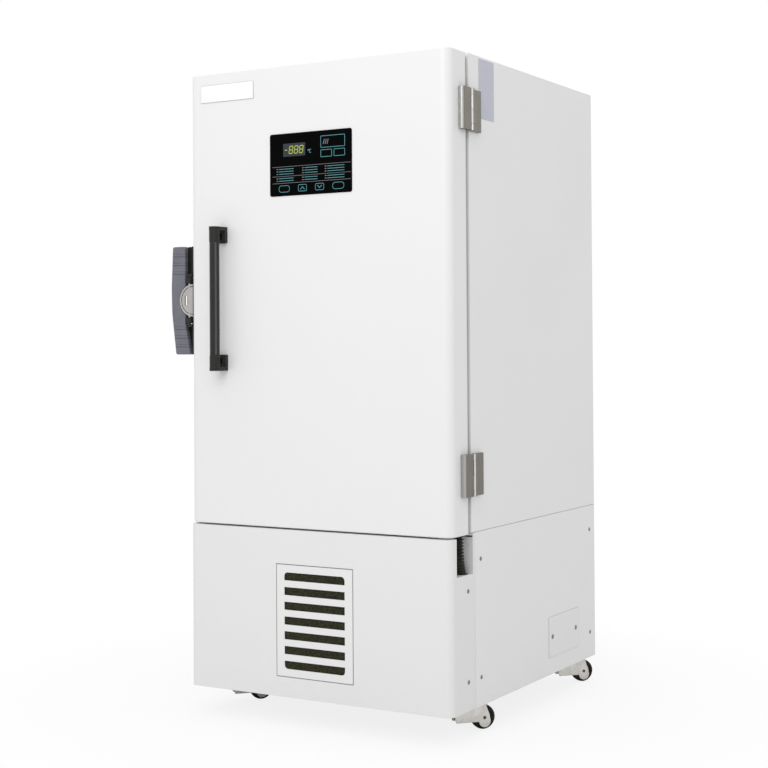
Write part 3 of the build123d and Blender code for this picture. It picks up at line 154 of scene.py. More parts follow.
def vector_calc(tree, operation, *values):
    """One sum on vectors. A length or a dot product comes out as a number, the rest as a vector."""
    node = make(tree, "ShaderNodeVectorMath", dict(enumerate(values)), operation=operation)
    return node.outputs["Value" if operation in ("LENGTH", "DOT_PRODUCT") else "Vector"]


def parts_of(tree, vector):
    """The X, Y and Z outputs of a vector, by name."""
    return make(tree, "ShaderNodeSeparateXYZ", {0: vector}).outputs


def ramp(tree, value, low, high, to_low=0.0, to_high=1.0, **settings):
    """A value between low and high becomes one between to_low and to_high, and goes no further."""
    given = {"Value": value, "From Min": low, "From Max": high, "To Min": to_low, "To Max": to_high}
    return make(tree, "ShaderNodeMapRange", given, **settings).outputs["Result"]


def noise(tree, place, scale, detail, **more):
    """Fractal noise around a half: scale is bumps per metre, detail is how often it is made finer."""
    given = {"Vector": place, "Scale": scale, "Detail": detail, **more}
    return make(tree, "ShaderNodeTexNoise", given).outputs["Fac"]


def blend(tree, mask, under, over):
    """The colour under where the mask is zero, the colour over where it is one, a mix between."""
    under = under if isinstance(under, bpy.types.NodeSocket) else (*under, 1)
    given = {"Factor": mask, "A": under, "B": (*over, 1)}
    return make(tree, "ShaderNodeMix", given, data_type="RGBA").outputs["Result"]


def own_place(tree):
    """The place of each point on its object, in the scene's metres."""
    return make(tree, "ShaderNodeTexCoord").outputs["Object"]


white = (1, 1, 1, 1)
print("helpers for nodes ready")

# %% [markdown]
# A white sweep of paper: the floor is pale and still shows the freezer's soft shadow, and far
# away it melts into the background. The melt is a mask on the floor's own coordinates, and only
# camera rays see it, so the freezer is lit by the plain floor.

# %% Floor
reach = 14.0
melt_starts, melt_ends = 0.55, 1.5
corners = [(-reach, -reach, 0), (reach, -reach, 0), (reach, reach, 0), (-reach, reach, 0)]
floor_mesh = bpy.data.meshes.new("studio_floor")
floor_mesh.from_pydata(corners, [], [(0, 1, 2, 3)])
floor = bpy.data.objects.new("studio_floor", floor_mesh)
bpy.context.scene.collection.objects.link(floor)
paper = bpy.data.materials.new("paper_sweep")
paper.use_nodes = True
tree = paper.node_tree
tree.nodes.clear()
away = vector_calc(tree, "LENGTH", own_place(tree))
melt = ramp(tree, away, melt_starts, melt_ends, 0.84, 1.0, interpolation_type="SMOOTHSTEP")
melt = calc(tree, "MULTIPLY", melt, make(tree, "ShaderNodeLightPath").outputs["Is Camera Ray"])
matt = make(tree, "ShaderNodeBsdfDiffuse", {"Color": (0.86, 0.86, 0.865, 1)})
glow = make(tree, "ShaderNodeEmission", {"Color": white, "Strength": 1.0})
mix = make(tree, "ShaderNodeMixShader", {0: melt, 1: matt.outputs[0], 2: glow.outputs[0]})
make(tree, "ShaderNodeOutputMaterial", {"Surface": mix.outputs[0]})
floor_mesh.materials.append(paper)
print("floor", reach * 2, "m square")

# %% [markdown]
# The room itself is a soft white tent. Camera, glossy and transmission rays see it at full
# white, so metal and glass mirror the same background as the eye sees. For diffuse light it is
# dimmer, which leaves room for the lamps to tell the front of the cabinet from its side.

# %% World
tent_dimmed = 0.80
world = bpy.data.worlds.new("white_tent")
bpy.context.scene.world = world
world.use_nodes = True
tree = world.node_tree
tree.nodes.clear()
rays = make(tree, "ShaderNodeLightPath").outputs
direct = calc(tree, "MAXIMUM", rays["Is Camera Ray"], rays["Is Glossy Ray"])
direct = calc(tree, "MAXIMUM", direct, rays["Is Transmission Ray"])
strength = ramp(tree, direct, 0.0, 1.0, tent_dimmed, 1.0)
tent = make(tree, "ShaderNodeBackground", {"Color": white, "Strength": strength})
make(tree, "ShaderNodeOutputWorld", {"Surface": tent.outputs[0]})
print("world ready")

# %% [markdown]
# Two large soft boxes: one high in front of the door, a little to the right, and a weaker one
# above. A lamp is an area light, because a small lamp would draw hard shadows that the photo lacks.


# %% Lamps
def soft_box(name, place, aim, size, power):
    """A rectangular area light at place that faces aim, both in metres; power is in watts."""
    data = bpy.data.lights.new(name, "AREA")
    data.shape = "RECTANGLE"
    data.size, data.size_y = size
    data.energy = power
    lamp = bpy.data.objects.new(name, data)
    lamp.location = place
    look = np.array(aim, float) - np.array(place, float)
    flat = np.hypot(look[0], look[1])
    lamp.rotation_euler = (np.arctan2(flat, -look[2]), 0, np.arctan2(-look[0], look[1]))
    bpy.context.scene.collection.objects.link(lamp)
    return lamp


soft_box("front_box", (0.8, -3.2, 2.9), (0.0, -0.45, 1.2), (2.2, 1.8), 35)
soft_box("top_box", (-0.3, -0.6, 4.2), (0.0, 0.0, 1.2), (2.6, 2.6), 17)

# %% [markdown]
# Now the finishes. Five effects turn up in many of them, so each is a node group: the fine
# waviness of sprayed paint, the streaks of brushed metal, the rubbed look along edges, the dust
# that settles, and the rolled edge that every sheet and casting has. A group gives out only a
# mask, a height or a normal. What it means for colour or roughness is decided in each material.


# %% Node groups for shared effects
def start_group(name, inputs, output):
    """A new shader group with one output; the default None makes an input a vector."""
    group = bpy.data.node_groups.new(name, "ShaderNodeTree")
    for key, default in inputs:
        kind = "NodeSocketVector" if default is None else "NodeSocketFloat"
        socket = group.interface.new_socket(key, in_out="INPUT", socket_type=kind)
        if default is not None:
            socket.default_value = default
    kind = "NodeSocketVector" if output == "Normal" else "NodeSocketFloat"
    group.interface.new_socket(output, in_out="OUTPUT", socket_type=kind)
    return group, group.nodes.new("NodeGroupInput").outputs


def paint_waviness():
    """Height of sprayed paint: a broad wave, plus a finer one that counts for less than half."""
    group, given = start_group("paint_waviness", [("Place", None), ("Broad", 260.0), ("Fine", 1100.0)],
                               "Height")
    broad = noise(group, given["Place"], given["Broad"], 1.0)
    fine = noise(group, given["Place"], given["Fine"], 2.0)
    make(group, "NodeGroupOutput", {0: calc(group, "MULTIPLY_ADD", fine, 0.45, broad)})
    return group


def brushed_streaks():
    """Streaks: noise on coordinates that are stretched by a different number along each axis."""
    group, given = start_group("brushed_streaks", [("Place", None), ("Stretch", None)], "Streak")
    stretched = vector_calc(group, "MULTIPLY", given["Place"], given["Stretch"])
    make(group, "NodeGroupOutput", {0: noise(group, stretched, 1.0, 4.0, Roughness=0.65)})
    return group


def edge_rub():
    """Edges: where the normal of a slightly rounded copy differs from the true one, broken by noise."""
    group, given = start_group("edge_rub", [("Place", None), ("Width", 0.001), ("Break", 300.0)], "Edge")
    rounded = make(group, "ShaderNodeBevel", {"Radius": given["Width"]}, samples=6).outputs["Normal"]
    plain = make(group, "ShaderNodeNewGeometry").outputs["Normal"]
    differ = ramp(group, vector_calc(group, "DOT_PRODUCT", rounded, plain), 0.995, 0.85)
    broken = ramp(group, noise(group, given["Place"], given["Break"], 3.0), 0.38, 0.62)
    make(group, "NodeGroupOutput", {0: calc(group, "MULTIPLY", differ, broken)})
    return group


def settled_dust():
    """Dust: thicker on faces that look up and close to the floor, in soft clouds."""
    group, given = start_group("settled_dust", [("Place", None), ("Knee", 0.35)], "Dust")
    normal = make(group, "ShaderNodeNewGeometry").outputs["Normal"]
    up = ramp(group, parts_of(group, normal)["Z"], 0.3, 1.0)
    low = ramp(group, parts_of(group, given["Place"])["Z"], given["Knee"], 0.0, 0.0, 0.7)
    cloud = noise(group, given["Place"], 24.0, 5.0)
    thick = calc(group, "MAXIMUM", up, low)
    make(group, "NodeGroupOutput", {0: calc(group, "MULTIPLY", thick, cloud)})
    return group


def rolled_edges():
    """Normals of the same shape with its edges rolled over by a small radius, as folded sheet has."""
    group, given = start_group("rolled_edges", [("Radius", 0.001)], "Normal")
    rolled = make(group, "ShaderNodeBevel", {"Radius": given["Radius"]}, samples=6)
    make(group, "NodeGroupOutput", {0: rolled.outputs["Normal"]})
    return group


groups = {made.name: made for made in (paint_waviness(), brushed_streaks(), edge_rub(), settled_dust(),
                                       rolled_edges())}


def effect(tree, name, **values):
    """The output of one of the shared groups, with its inputs fed by name."""
    return make(tree, "ShaderNodeGroup", values, node_tree=groups[name]).outputs[0]


print("groups", sorted(groups))

# %% [markdown]
# Every material starts the same way: a Principled shader, the object's own coordinates, and a
# colour that drifts to a second one, with the gloss in step. Wear and dust lie over that where a
# finish asks for them. Numbers that are the same all over, such as Metallic, are set on the shader.


# %% The common start of a material
dust_colour = (0.42, 0.4, 0.37)


def finish(name, colour, second=None, roughness=(0.35, 0.5), peel=(600, 2200, 0.00005), streaks=None,
           wear=None, dust=0.0, knee=0.35, clouds=2.2, roll=0.0008, contrast=0.5, **shader_values):
    """One material. Its colour drifts to second in clouds or streaks, the sharper the less contrast
    is; peel is the two scales and the depth of its waviness, wear the colour and width of rubbed
    edges, knee the height up to which dust lies on upright faces, roll the radius of its edges."""
    material = bpy.data.materials.new(name)
    material.use_nodes = True
    tree = material.node_tree
    tree.nodes.clear()
    place = own_place(tree)
    if streaks:
        mask = effect(tree, "brushed_streaks", Place=place, Stretch=streaks)
    else:
        mask = noise(tree, place, clouds, 4.0)
    drift = ramp(tree, mask, 0.5 - contrast, 0.5 + contrast)
    shown = blend(tree, drift, colour, second or [channel * 0.93 for channel in colour])
    rough = ramp(tree, mask, 0.3, 0.7, *roughness)
    if wear:
        shown = blend(tree, effect(tree, "edge_rub", Place=place, Width=wear[1]), shown, wear[0])
    if dust:
        amount = calc(tree, "MULTIPLY", effect(tree, "settled_dust", Place=place, Knee=knee), dust)
        shown = blend(tree, amount, shown, dust_colour)
        rough = calc(tree, "ADD", rough, amount, use_clamp=True)
    height = effect(tree, "paint_waviness", Place=place, Broad=peel[0], Fine=peel[1])
    relief = {"Strength": 1.0, "Distance": peel[2], "Height": height}
    if roll:
        relief["Normal"] = effect(tree, "rolled_edges", Radius=roll)
    bump = make(tree, "ShaderNodeBump", relief)
    given = {key.replace("_", " "): value for key, value in shader_values.items()}
    given |= {"Base Color": shown, "Roughness": rough, "Normal": bump.outputs["Normal"]}
    shader = make(tree, "ShaderNodeBsdfPrincipled", given)
    make(tree, "ShaderNodeOutputMaterial", {"Surface": shader.outputs[0]})
    return material


print("common start ready")

# %% [markdown]
# Some finishes change from place to place on one piece: a hinge has painted highlights on its pin
# and front edge, a plate is black above and below its round face. A mask picks the place, and one
# helper lays a second colour over the first where the mask is one. Masks here are distances: from a
# line, from a level or from the outline of a box.


# %% A second colour by place
def lay_over(material, mask, colour):
    """Mix a colour over the base colour of a material where the mask is one."""
    tree = material.node_tree
    shader = next(node for node in tree.nodes if node.type == "BSDF_PRINCIPLED")
    base = shader.inputs["Base Color"]
    tree.links.new(blend(tree, mask, base.links[0].from_socket, colour), base)


def distance_mask(material, point, keep, full, none):
    """From zero at the distance none from a point to one at the distance full, in millimetres. An
    axis that keep sets to zero isn't counted, so the distance is from a line or from a level."""
    tree = material.node_tree
    offset = vector_calc(tree, "SUBTRACT", own_place(tree), tuple(to_scene(point)))
    counted = vector_calc(tree, "MULTIPLY", offset, keep)
    return ramp(tree, vector_calc(tree, "LENGTH", counted), none / 1000, full / 1000)


def border_mask(material, middle, half_size, width):
    """One near the outline of a box: the least room left to any of its faces, measured inwards."""
    tree = material.node_tree
    offset = vector_calc(tree, "SUBTRACT", own_place(tree), tuple(to_scene(middle)))
    room = [size / 1000 for size in half_size]
    left = parts_of(tree, vector_calc(tree, "SUBTRACT", room, vector_calc(tree, "ABSOLUTE", offset)))
    least = calc(tree, "MINIMUM", calc(tree, "MINIMUM", left["X"], left["Y"]), left["Z"])
    return ramp(tree, least, width / 800, width / 1200)


print("helpers for masks ready")

# %% [markdown]
# The body is folded sheet under white powder paint. Powder flows out as it bakes and leaves a
# skin like an orange's, with hollows two or three millimetres apart and only microns deep. A
# little dust greys it near the floor.

# %% Painted sheet
powder = {"roughness": (0.34, 0.42), "peel": (330, 1300, 0.00006), "dust": 0.05, "knee": 0.3}
white_paint = finish("white_powder_paint", (0.83, 0.832, 0.826), (0.80, 0.803, 0.80), **powder)
base_paint = finish("base_powder_paint", (0.795, 0.797, 0.79), (0.765, 0.768, 0.763), **powder)


def edged_paint(name, middle, half_size, width, tone):
    """The base's paint with a thin shadow line drawn along the outline of one panel."""
    paint = finish(name, (0.81, 0.812, 0.806), (0.78, 0.783, 0.78), **powder)
    lay_over(paint, border_mask(paint, middle, half_size, width), tone)
    return paint


deep = 900
grille_paint = edged_paint("grille_powder_paint", (0, 0, 274), (117, deep, 146), 1.0, (0.2, 0.2, 0.19))
service_paint = edged_paint("service_powder_paint", (half_width, 671, 178), (deep, 104, 56), 0.8,
                            (0.58, 0.57, 0.56))
grey_paint = finish("grey_frame_paint", (0.30, 0.31, 0.32), (0.26, 0.27, 0.28), (0.45, 0.6),
                    peel=(300, 1200, 0.0001), dust=0.35)
liner_paint = finish("white_liner_paint", (0.78, 0.79, 0.79), (0.74, 0.76, 0.77), (0.28, 0.4),
                     peel=(240, 1000, 0.0001))
print("painted sheet ready")

# %% [markdown]
# The casters trail their forks at an angle, so the middle of each wheel is worked out first: the
# forks' finish needs it too, because the ends of the axles are dark.

# %% Place of the wheels
caster_x, caster_rows = 348, (200, 845)
wheel_radius = 31.5
heading = radians(47.5)
trail = 30 * np.array([np.cos(heading), np.sin(heading), 0])
roll_axis = np.array([-np.sin(heading), np.cos(heading), 0])
wheel_hubs = {f"{end}_{flank}": np.array([x, row, wheel_radius]) + trail
              for end, row in zip(("front", "rear"), caster_rows)
              for flank, x in (("left", -caster_x), ("right", caster_x))}
print("wheels", {name: hub.round(1).tolist() for name, hub in wheel_hubs.items()})

# %% [markdown]
# Metals differ in how they were worked: hinges and shelves are brushed, and zinc shows the clouds
# of its bath. The hinge has a painted highlight along its pin and along its front edge. The latch
# plate is satin, grows paler towards its rim, and is black above and below its round face.

# %% Metals
brushed_steel = finish("brushed_stainless", (0.27, 0.255, 0.225), (0.155, 0.145, 0.125), (0.25, 0.42),
                       streaks=(900, 900, 18), roll=0.0012, contrast=0.25, Metallic=1.0)
# Painted highlights: the hinge pin and the rounded front edge of the door's leaf are drawn paler, as where
# light catches them.
hinge_pin_highlight = distance_mask(brushed_steel, (415.5, 96, 0), (1, 1, 0), 2.4, 3.6)
lay_over(brushed_steel, hinge_pin_highlight, (0.72, 0.72, 0.73))
leaf_edge_highlight = distance_mask(brushed_steel, (407, 50, 0), (0, 1, 0), 2.5, 4.5)
lay_over(brushed_steel, leaf_edge_highlight, (0.44, 0.43, 0.42))
satin_steel = finish("satin_shelf_steel", (0.62, 0.62, 0.61), (0.50, 0.50, 0.50), (0.3, 0.45),
                     streaks=(12, 700, 700), Metallic=1.0)
zinc = finish("zinc_plate", (0.80, 0.775, 0.73), (0.62, 0.60, 0.56), (0.2, 0.42), clouds=45,
              contrast=0.25, peel=(700, 2600, 0.00008), wear=((0.92, 0.91, 0.88), 0.001), dust=0.08,
              knee=0.05, Metallic=1.0)
axle_half = 16.5
for hub in wheel_hubs.values():
    for side in (-1, 1):
        axle_end = distance_mask(zinc, hub + side * axle_half * roll_axis, (1, 1, 1), 4.1, 4.6)
        lay_over(zinc, axle_end, (0.10, 0.08, 0.06))
latch_middle, latch_reach, latch_wall = 1115, 147.5, -half_width
latch_centre = (latch_wall, 0, latch_middle)
plate_steel = finish("satin_nickel_plate", (0.51, 0.49, 0.475), (0.42, 0.405, 0.39), (0.25, 0.38),
                     clouds=30, peel=(500, 1800, 0.00006), contrast=0.3, Metallic=0.85)
lay_over(plate_steel, distance_mask(plate_steel, latch_centre, (1, 0, 1), 100, 38), (0.82, 0.81, 0.79))
lay_over(plate_steel, distance_mask(plate_steel, latch_centre, (0, 0, 1), 47, 45.5), (0.02, 0.02, 0.02))
copper = finish("drawn_copper", (0.75, 0.38, 0.22), (0.5, 0.22, 0.12), (0.25, 0.5), clouds=40,
                peel=(400, 1500, 0.0001), Metallic=1.0)
fins = finish("aluminium_fins", (0.55, 0.56, 0.57), (0.25, 0.25, 0.26), (0.35, 0.55), streaks=(520, 2, 2),
              Metallic=1.0)
screw_steel = finish("screw_steel", (0.34, 0.33, 0.31), (0.22, 0.21, 0.2), (0.3, 0.5), clouds=300,
                     peel=(900, 3000, 0.0001), Metallic=0.9)
dark_steel = finish("black_oxide_steel", (0.018, 0.018, 0.019), (0.03, 0.03, 0.032), (0.4, 0.55),
                    clouds=50, peel=(600, 2200, 0.0001), wear=((0.10, 0.10, 0.10), 0.0008),
                    Specular_IOR_Level=0.2)
print("metals ready")

# %% [markdown]
# Mouldings get their look from gloss and grain, and a little painted light: the lacquered bar has
# two thin painted highlight lines of sheen down its front, brackets are matt with paler edges, and
# the lever has thin painted shadows beside its ribs. Foams and tyres are rough, and the tyres carry
# a little dust.

# %% Plastics, rubber and foam
black_gloss = finish("black_bar_lacquer", (0.012, 0.012, 0.0115), (0.022, 0.022, 0.021), (0.16, 0.22),
                     clouds=30, peel=(120, 1500, 0.00001), roll=None, Specular_IOR_Level=0.28)
# Two thin paler lines down the front of the bar are a painted sheen: highlights drawn into its colour.
for x, y, full, none, grey in ((-276.7, -48.4, 1.4, 3.2, 0.075), (-298.5, -46.5, 0.8, 2.2, 0.06)):
    painted_sheen = distance_mask(black_gloss, (x, y, 0), (1, 1, 0), full, none)
    lay_over(black_gloss, painted_sheen, (grey, grey, grey))
black_matt = finish("black_bracket_moulding", (0.012, 0.012, 0.011), (0.022, 0.022, 0.02), (0.35, 0.5),
                    clouds=60, peel=(900, 3200, 0.00015), wear=((0.09, 0.09, 0.085), 0.0012), roll=0.0015,
                    Specular_IOR_Level=0.25)
lever_blue = finish("blue_grey_moulding", (0.172, 0.174, 0.203), (0.139, 0.141, 0.167), (0.4, 0.52),
                    clouds=35, peel=(700, 2600, 0.00012), wear=((0.30, 0.30, 0.34), 0.002), roll=None,
                    contrast=0.3, Specular_IOR_Level=0.35)
rib_pitch = 24


def rib_shadows(tree, middle, reach, pitch):
    """Painted shadow lines beside the three ribs at either end: where the room left to the end, counted
    in pitches, is 0.15 of a pitch away from the first, second or third whole one; all in metres."""
    level = parts_of(tree, own_place(tree))["Z"]
    room = calc(tree, "SUBTRACT", reach, calc(tree, "ABSOLUTE", calc(tree, "SUBTRACT", level, middle)))
    steps = calc(tree, "DIVIDE", room, pitch)
    rest = calc(tree, "ABSOLUTE", calc(tree, "SUBTRACT", steps, calc(tree, "ROUND", steps)))
    line = calc(tree, "COMPARE", rest, 0.15, 0.04)
    inside = calc(tree, "COMPARE", steps, 2.0, 1.5)
    return calc(tree, "MULTIPLY", calc(tree, "MULTIPLY", line, inside), 0.6)


shadows = rib_shadows(lever_blue.node_tree, latch_middle / 1000, latch_reach / 1000, rib_pitch / 1000)
# These lines are painted shade: the lever's colour is darkened beside each rib.
lay_over(lever_blue, shadows, (0.05, 0.05, 0.06))
gasket_rubber = finish("gasket_rubber", (0.46, 0.46, 0.45), (0.38, 0.38, 0.37), (0.5, 0.65), clouds=30,
                       peel=(700, 2400, 0.0002))
soft_rubber = finish("black_soft_rubber", (0.022, 0.022, 0.023), (0.04, 0.04, 0.04), (0.6, 0.8),
                     clouds=90, peel=(800, 2600, 0.0003), dust=0.3, knee=0.12)
conduit_black = finish("conduit_nylon", (0.010, 0.010, 0.008), (0.018, 0.018, 0.014), (0.25, 0.32),
                       clouds=80, peel=(900, 3000, 0.00003), roll=None, Specular_IOR_Level=0.22)
panel_gloss = finish("black_panel_film", (0.0015, 0.0016, 0.0018), (0.003, 0.003, 0.0033), (0.12, 0.2),
                     clouds=18, peel=(160, 2200, 0.00003), Specular_IOR_Level=0.012)
plate_white = finish("white_name_plate", (0.93, 0.932, 0.935), (0.90, 0.902, 0.905), (0.25, 0.34),
                     clouds=12, peel=(300, 1800, 0.00002))
plate_shade_rim = finish("name_plate_shade_rim", (0.50, 0.50, 0.51), (0.44, 0.44, 0.45), (0.3, 0.4), clouds=40)
board_green = finish("board_lacquer", (0.02, 0.16, 0.07), (0.015, 0.10, 0.05), (0.25, 0.4), clouds=200)
liner_foam = finish("insulation_foam", (0.72, 0.58, 0.33), (0.60, 0.45, 0.22), (0.8, 0.95), clouds=120,
                    peel=(900, 2600, 0.001))
battery_case = finish("battery_case", (0.12, 0.12, 0.13), (0.16, 0.16, 0.17), (0.4, 0.6), clouds=40,
                      peel=(800, 2600, 0.0002), dust=0.2)
filter_foam = finish("filter_foam", (0.006, 0.006, 0.002), (0.06, 0.058, 0.036), (0.7, 0.95), clouds=640,
                     peel=(300, 900, 0.0008), roll=None, contrast=0.1, Specular_IOR_Level=0.05)
tyre_black = finish("cast_tyre_rubber", (0.007, 0.007, 0.006), (0.014, 0.014, 0.013), (0.45, 0.65),
                    clouds=120, peel=(900, 2600, 0.0001), dust=0.04, knee=0.02, roll=None,
                    Specular_IOR_Level=0.2)
print("mouldings ready")

# %% [markdown]
# The last finishes lie on the control panel and on the cabinet's side: the foil of the display
# window, two screen inks, figures that glow a little, and a pale film with faint ruled lines.

# %% Inks, display and side film
screen_print = {"roughness": (0.35, 0.5), "clouds": 200, "roll": None}
window_dark = finish("display_window_foil", (0.035, 0.042, 0.052), (0.045, 0.053, 0.063), (0.1, 0.16),
                     clouds=30, peel=(300, 2000, 0.00002), roll=None, Specular_IOR_Level=0.1)
ink_grey = finish("grey_screen_ink", (0.18, 0.18, 0.185), (0.14, 0.14, 0.145), **screen_print)
ink_teal = finish("teal_screen_ink", (0.10, 0.33, 0.36), (0.07, 0.26, 0.29), **screen_print)
figure_glow = finish("display_figures", (0.34, 0.38, 0.05), (0.30, 0.34, 0.04), (0.3, 0.4), clouds=200,
                     roll=None, Emission_Color=(0.50, 0.56, 0.06, 1), Emission_Strength=0.3)


def ruled_film():
    """Pale lilac film with faint ruled lines: a wave across Z, cut to thin lines, darkens the colour."""
    material = finish("pale_side_film", (0.55, 0.56, 0.64), (0.50, 0.51, 0.59), (0.3, 0.42), clouds=16,
                      peel=(300, 1800, 0.00003))
    tree = material.node_tree
    wave = make(tree, "ShaderNodeTexWave", {"Vector": own_place(tree), "Scale": 62.8}, wave_type="BANDS",
                bands_direction="Z")
    thin = ramp(tree, wave.outputs["Fac"], 0.80, 0.97, 0.0, 0.4)
    lay_over(material, thin, (0.26, 0.27, 0.33))
    return material


label_film = ruled_film()
print("inks ready")

# %% [markdown]
# The folded door, its seal, the grip and the turned parts are surfaces on a grid of points. A
# grid that closes round each row needs only its two ends capped. These helpers work out the
# corners of all faces at once, gather several such shells into one mesh, turn the faces
# outwards, and mark edges sharper than an angle, so that flat parts shade flat.


# %% From grids of points to pieces
def skin(grid, wrap_rows=False):
    """Quads join each point to its neighbours in the row and in the next row; open ends are capped."""
    rows, columns = grid.shape[:2]
    r, c = np.meshgrid(np.arange(rows if wrap_rows else rows - 1), np.arange(columns), indexing="ij")
    under, beside = (r + 1) % rows, (c + 1) % columns
    here, below = r * columns, under * columns
    quads = np.stack([here + c, here + beside, below + beside, below + c], -1)
    caps = [] if wrap_rows else [np.arange(columns), np.arange((rows - 1) * columns, rows * columns)]
    return grid.reshape(-1, 3), quads.reshape(-1, 4), caps


def make_piece(name, body, material, shells, sharp=35, replaced=()):
    """One mesh from several shells, in the maker's millimetres, riding on a body."""
    points = to_scene(np.concatenate([shell[0] for shell in shells]))
    starts = np.cumsum([0] + [len(shell[0]) for shell in shells[:-1]])
    faces = np.concatenate([shell[1] + start for shell, start in zip(shells, starts)]).tolist()
    faces += [(cap + start).tolist() for shell, start in zip(shells, starts) for cap in shell[2]]
    mesh = bpy.data.meshes.new(name)
    mesh.from_pydata(points.tolist(), [], faces)
    work = bmesh.new()
    work.from_mesh(mesh)
    bmesh.ops.recalc_face_normals(work, faces=work.faces)
    work.to_mesh(mesh)
    work.free()
    mesh.polygons.foreach_set("use_smooth", np.ones(len(mesh.polygons), bool))
    mesh.set_sharp_from_angle(angle=radians(sharp))
    mesh.materials.append(material)
    piece = bpy.data.objects.new(name, mesh)
    bpy.context.scene.collection.objects.link(piece)
    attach(piece, body)
    if replaced:
        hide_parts(*replaced)
    print(name, len(mesh.vertices), "points")
    return piece


# %% [markdown]
# Plates, keys, display segments and screw heads have simple outlines. A plate is a rounded
# outline carried from its back to its front, with the last rows drawn in along a quarter circle,
# which is the rolled edge. A turned part is a profile carried round an axis.


# %% Outlines, plates and turned parts
def rounded_outline(width, height, radius, steps=6):
    """Points round a rectangle with round corners, and the direction that points outwards at each."""
    turn = np.radians(np.linspace(0, 90, steps))[None, :] + np.radians([0, 90, 180, 270])[:, None]
    outward = np.stack([np.cos(turn), np.sin(turn)], -1).reshape(-1, 2)
    corner = np.array([(1, 1), (-1, 1), (-1, -1), (1, -1)]) * (np.array([width, height]) / 2 - radius)
    return np.repeat(corner, steps, 0) + outward * radius, outward


def front_plate(x, z, width, height, back, front, radius=1.0, roll=0.3):
    """A plate that faces the front: its outline goes from back to front, then in along a quarter circle."""
    line, outward = rounded_outline(width, height, radius)
    turn = np.radians([0, 22, 45, 68, 90])
    inset = np.concatenate([[0], roll * (1 - np.cos(turn))])
    depth = np.concatenate([[back], front + roll * (1 - np.sin(turn))])
    flat = line[None] - outward[None] * inset[:, None, None]
    y = np.broadcast_to(depth[:, None], flat.shape[:2])
    return skin(np.stack([flat[..., 0] + x, y, flat[..., 1] + z], -1))


def front_ring(x, z, width, height, back, front, radius=2.0, line=1.0):
    """A thin frame that faces the front: a small square section carried round a rounded outline."""
    path, outward = rounded_outline(width, height, radius)
    offset = np.array([0, 0, -line, -line])
    flat = path[:, None] + outward[:, None] * offset[None, :, None]
    y = np.broadcast_to(np.array([back, front, front, back]), flat.shape[:2])
    return skin(np.stack([flat[..., 0] + x, y, flat[..., 1] + z], -1), wrap_rows=True)


def front_prism(outline, back, front):
    """A flat outline in X and Z, carried from back to front."""
    flat = np.asarray(outline, float)
    rows = [np.stack([flat[:, 0], np.full(len(flat), y), flat[:, 1]], -1) for y in (back, front)]
    return skin(np.array(rows))


def turned(foot, axis, profile, columns=32):
    """A profile of (distance along the axis, radius) carried round the axis that starts at foot."""
    axis = np.asarray(axis, float) / np.linalg.norm(axis)
    side = np.cross(axis, (0, 0, 1) if abs(axis[2]) < 0.9 else (0, 1, 0))
    side /= np.linalg.norm(side)
    turn = np.linspace(0, 2 * np.pi, columns, endpoint=False)
    round_it = np.cos(turn)[:, None] * side + np.sin(turn)[:, None] * np.cross(axis, side)
    along, radius = np.asarray(profile, float).T
    return skin(np.asarray(foot, float) + along[:, None, None] * axis + radius[:, None, None] * round_it)


print("helpers ready")

# %% [markdown]
# The door is one sheet, bent round a generous radius at both front corners and rolled over at top
# and bottom. As a surface it is the same section from above at every height, drawn in a little at
# both ends along a quarter circle. Rows and columns stand close together beside each bend, which
# keeps the large faces flat when they are shaded smooth.

# %% Folded door skin
door_bend = 25
door_fold = 3.5
door_back = 87
bend = np.radians(np.linspace(0, 90, 13))
near = 0.8


def door_section(inset):
    """Along the left side, round the left bend, across the front, round the right bend and back."""
    reach = half_width - inset
    radius = door_bend - inset
    centre = half_width - door_bend
    left = np.stack([-centre - radius * np.cos(bend), door_bend - radius * np.sin(bend)], -1)
    right = left[::-1] * (-1, 1)
    return np.concatenate([[(-reach, door_back), (-reach, door_bend + near)], left,
                           [(near - centre, inset), (0, inset), (centre - near, inset)], right,
                           [(reach, door_bend + near), (reach, door_back)]])


fold = np.radians(np.linspace(0, 90, 8))
fold_inset = np.concatenate([door_fold * (1 - np.sin(fold)), [0]])
fold_height = np.concatenate([door_fold * (1 - np.cos(fold)), [door_fold + near]])
insets = np.concatenate([fold_inset, fold_inset[::-1]])
levels = np.concatenate([door_foot + fold_height, door_top - fold_height[::-1]])
door_grid = np.array([np.column_stack([door_section(inset), np.full(len(door_section(0)), level)])
                      for inset, level in zip(insets, levels)])
make_piece("folded_door_skin", "door", white_paint, [skin(door_grid)], replaced=["door_skin"])

# %% [markdown]
# Behind the door sits a soft magnetic seal. Seen in the gap it has a shadow line next to the door
# and a grey bellows behind it. It is one profile, drawn with its lip and folds, carried round a
# rounded frame.

# %% Bellows seal
seal_inset = 5
seal_corner = 9
seal_back = 105.7
seal_profile = np.array([(-12, 89), (-5.5, 89), (-5.5, 90.6), (-5.2, 92.2), (-2.2, 93.2), (-0.6, 94.6),
                         (0, 96.6), (-0.5, 98.6), (-1.8, 99.8), (-1.6, 100.6), (-0.4, 101.4), (0, 102.8),
                         (-0.2, 104.6), (-1.4, 105.6), (-3, seal_back), (-11, seal_back), (-12, 104.5),
                         (-12, 99), (-10, 97), (-10, 94.5), (-12, 92.5)])
seal_foot = door_foot + 1.5
seal_line, seal_outward = rounded_outline(2 * (half_width - seal_inset), door_top - seal_inset - seal_foot,
                                          seal_corner, steps=9)
seal_flat = seal_line[:, None] + seal_outward[:, None] * seal_profile[None, :, :1]
seal_depth = np.broadcast_to(seal_profile[:, 1], seal_flat.shape[:2])
seal_middle = (door_top - seal_inset + seal_foot) / 2
seal_grid = np.stack([seal_flat[..., 0], seal_depth, seal_flat[..., 1] + seal_middle], -1)
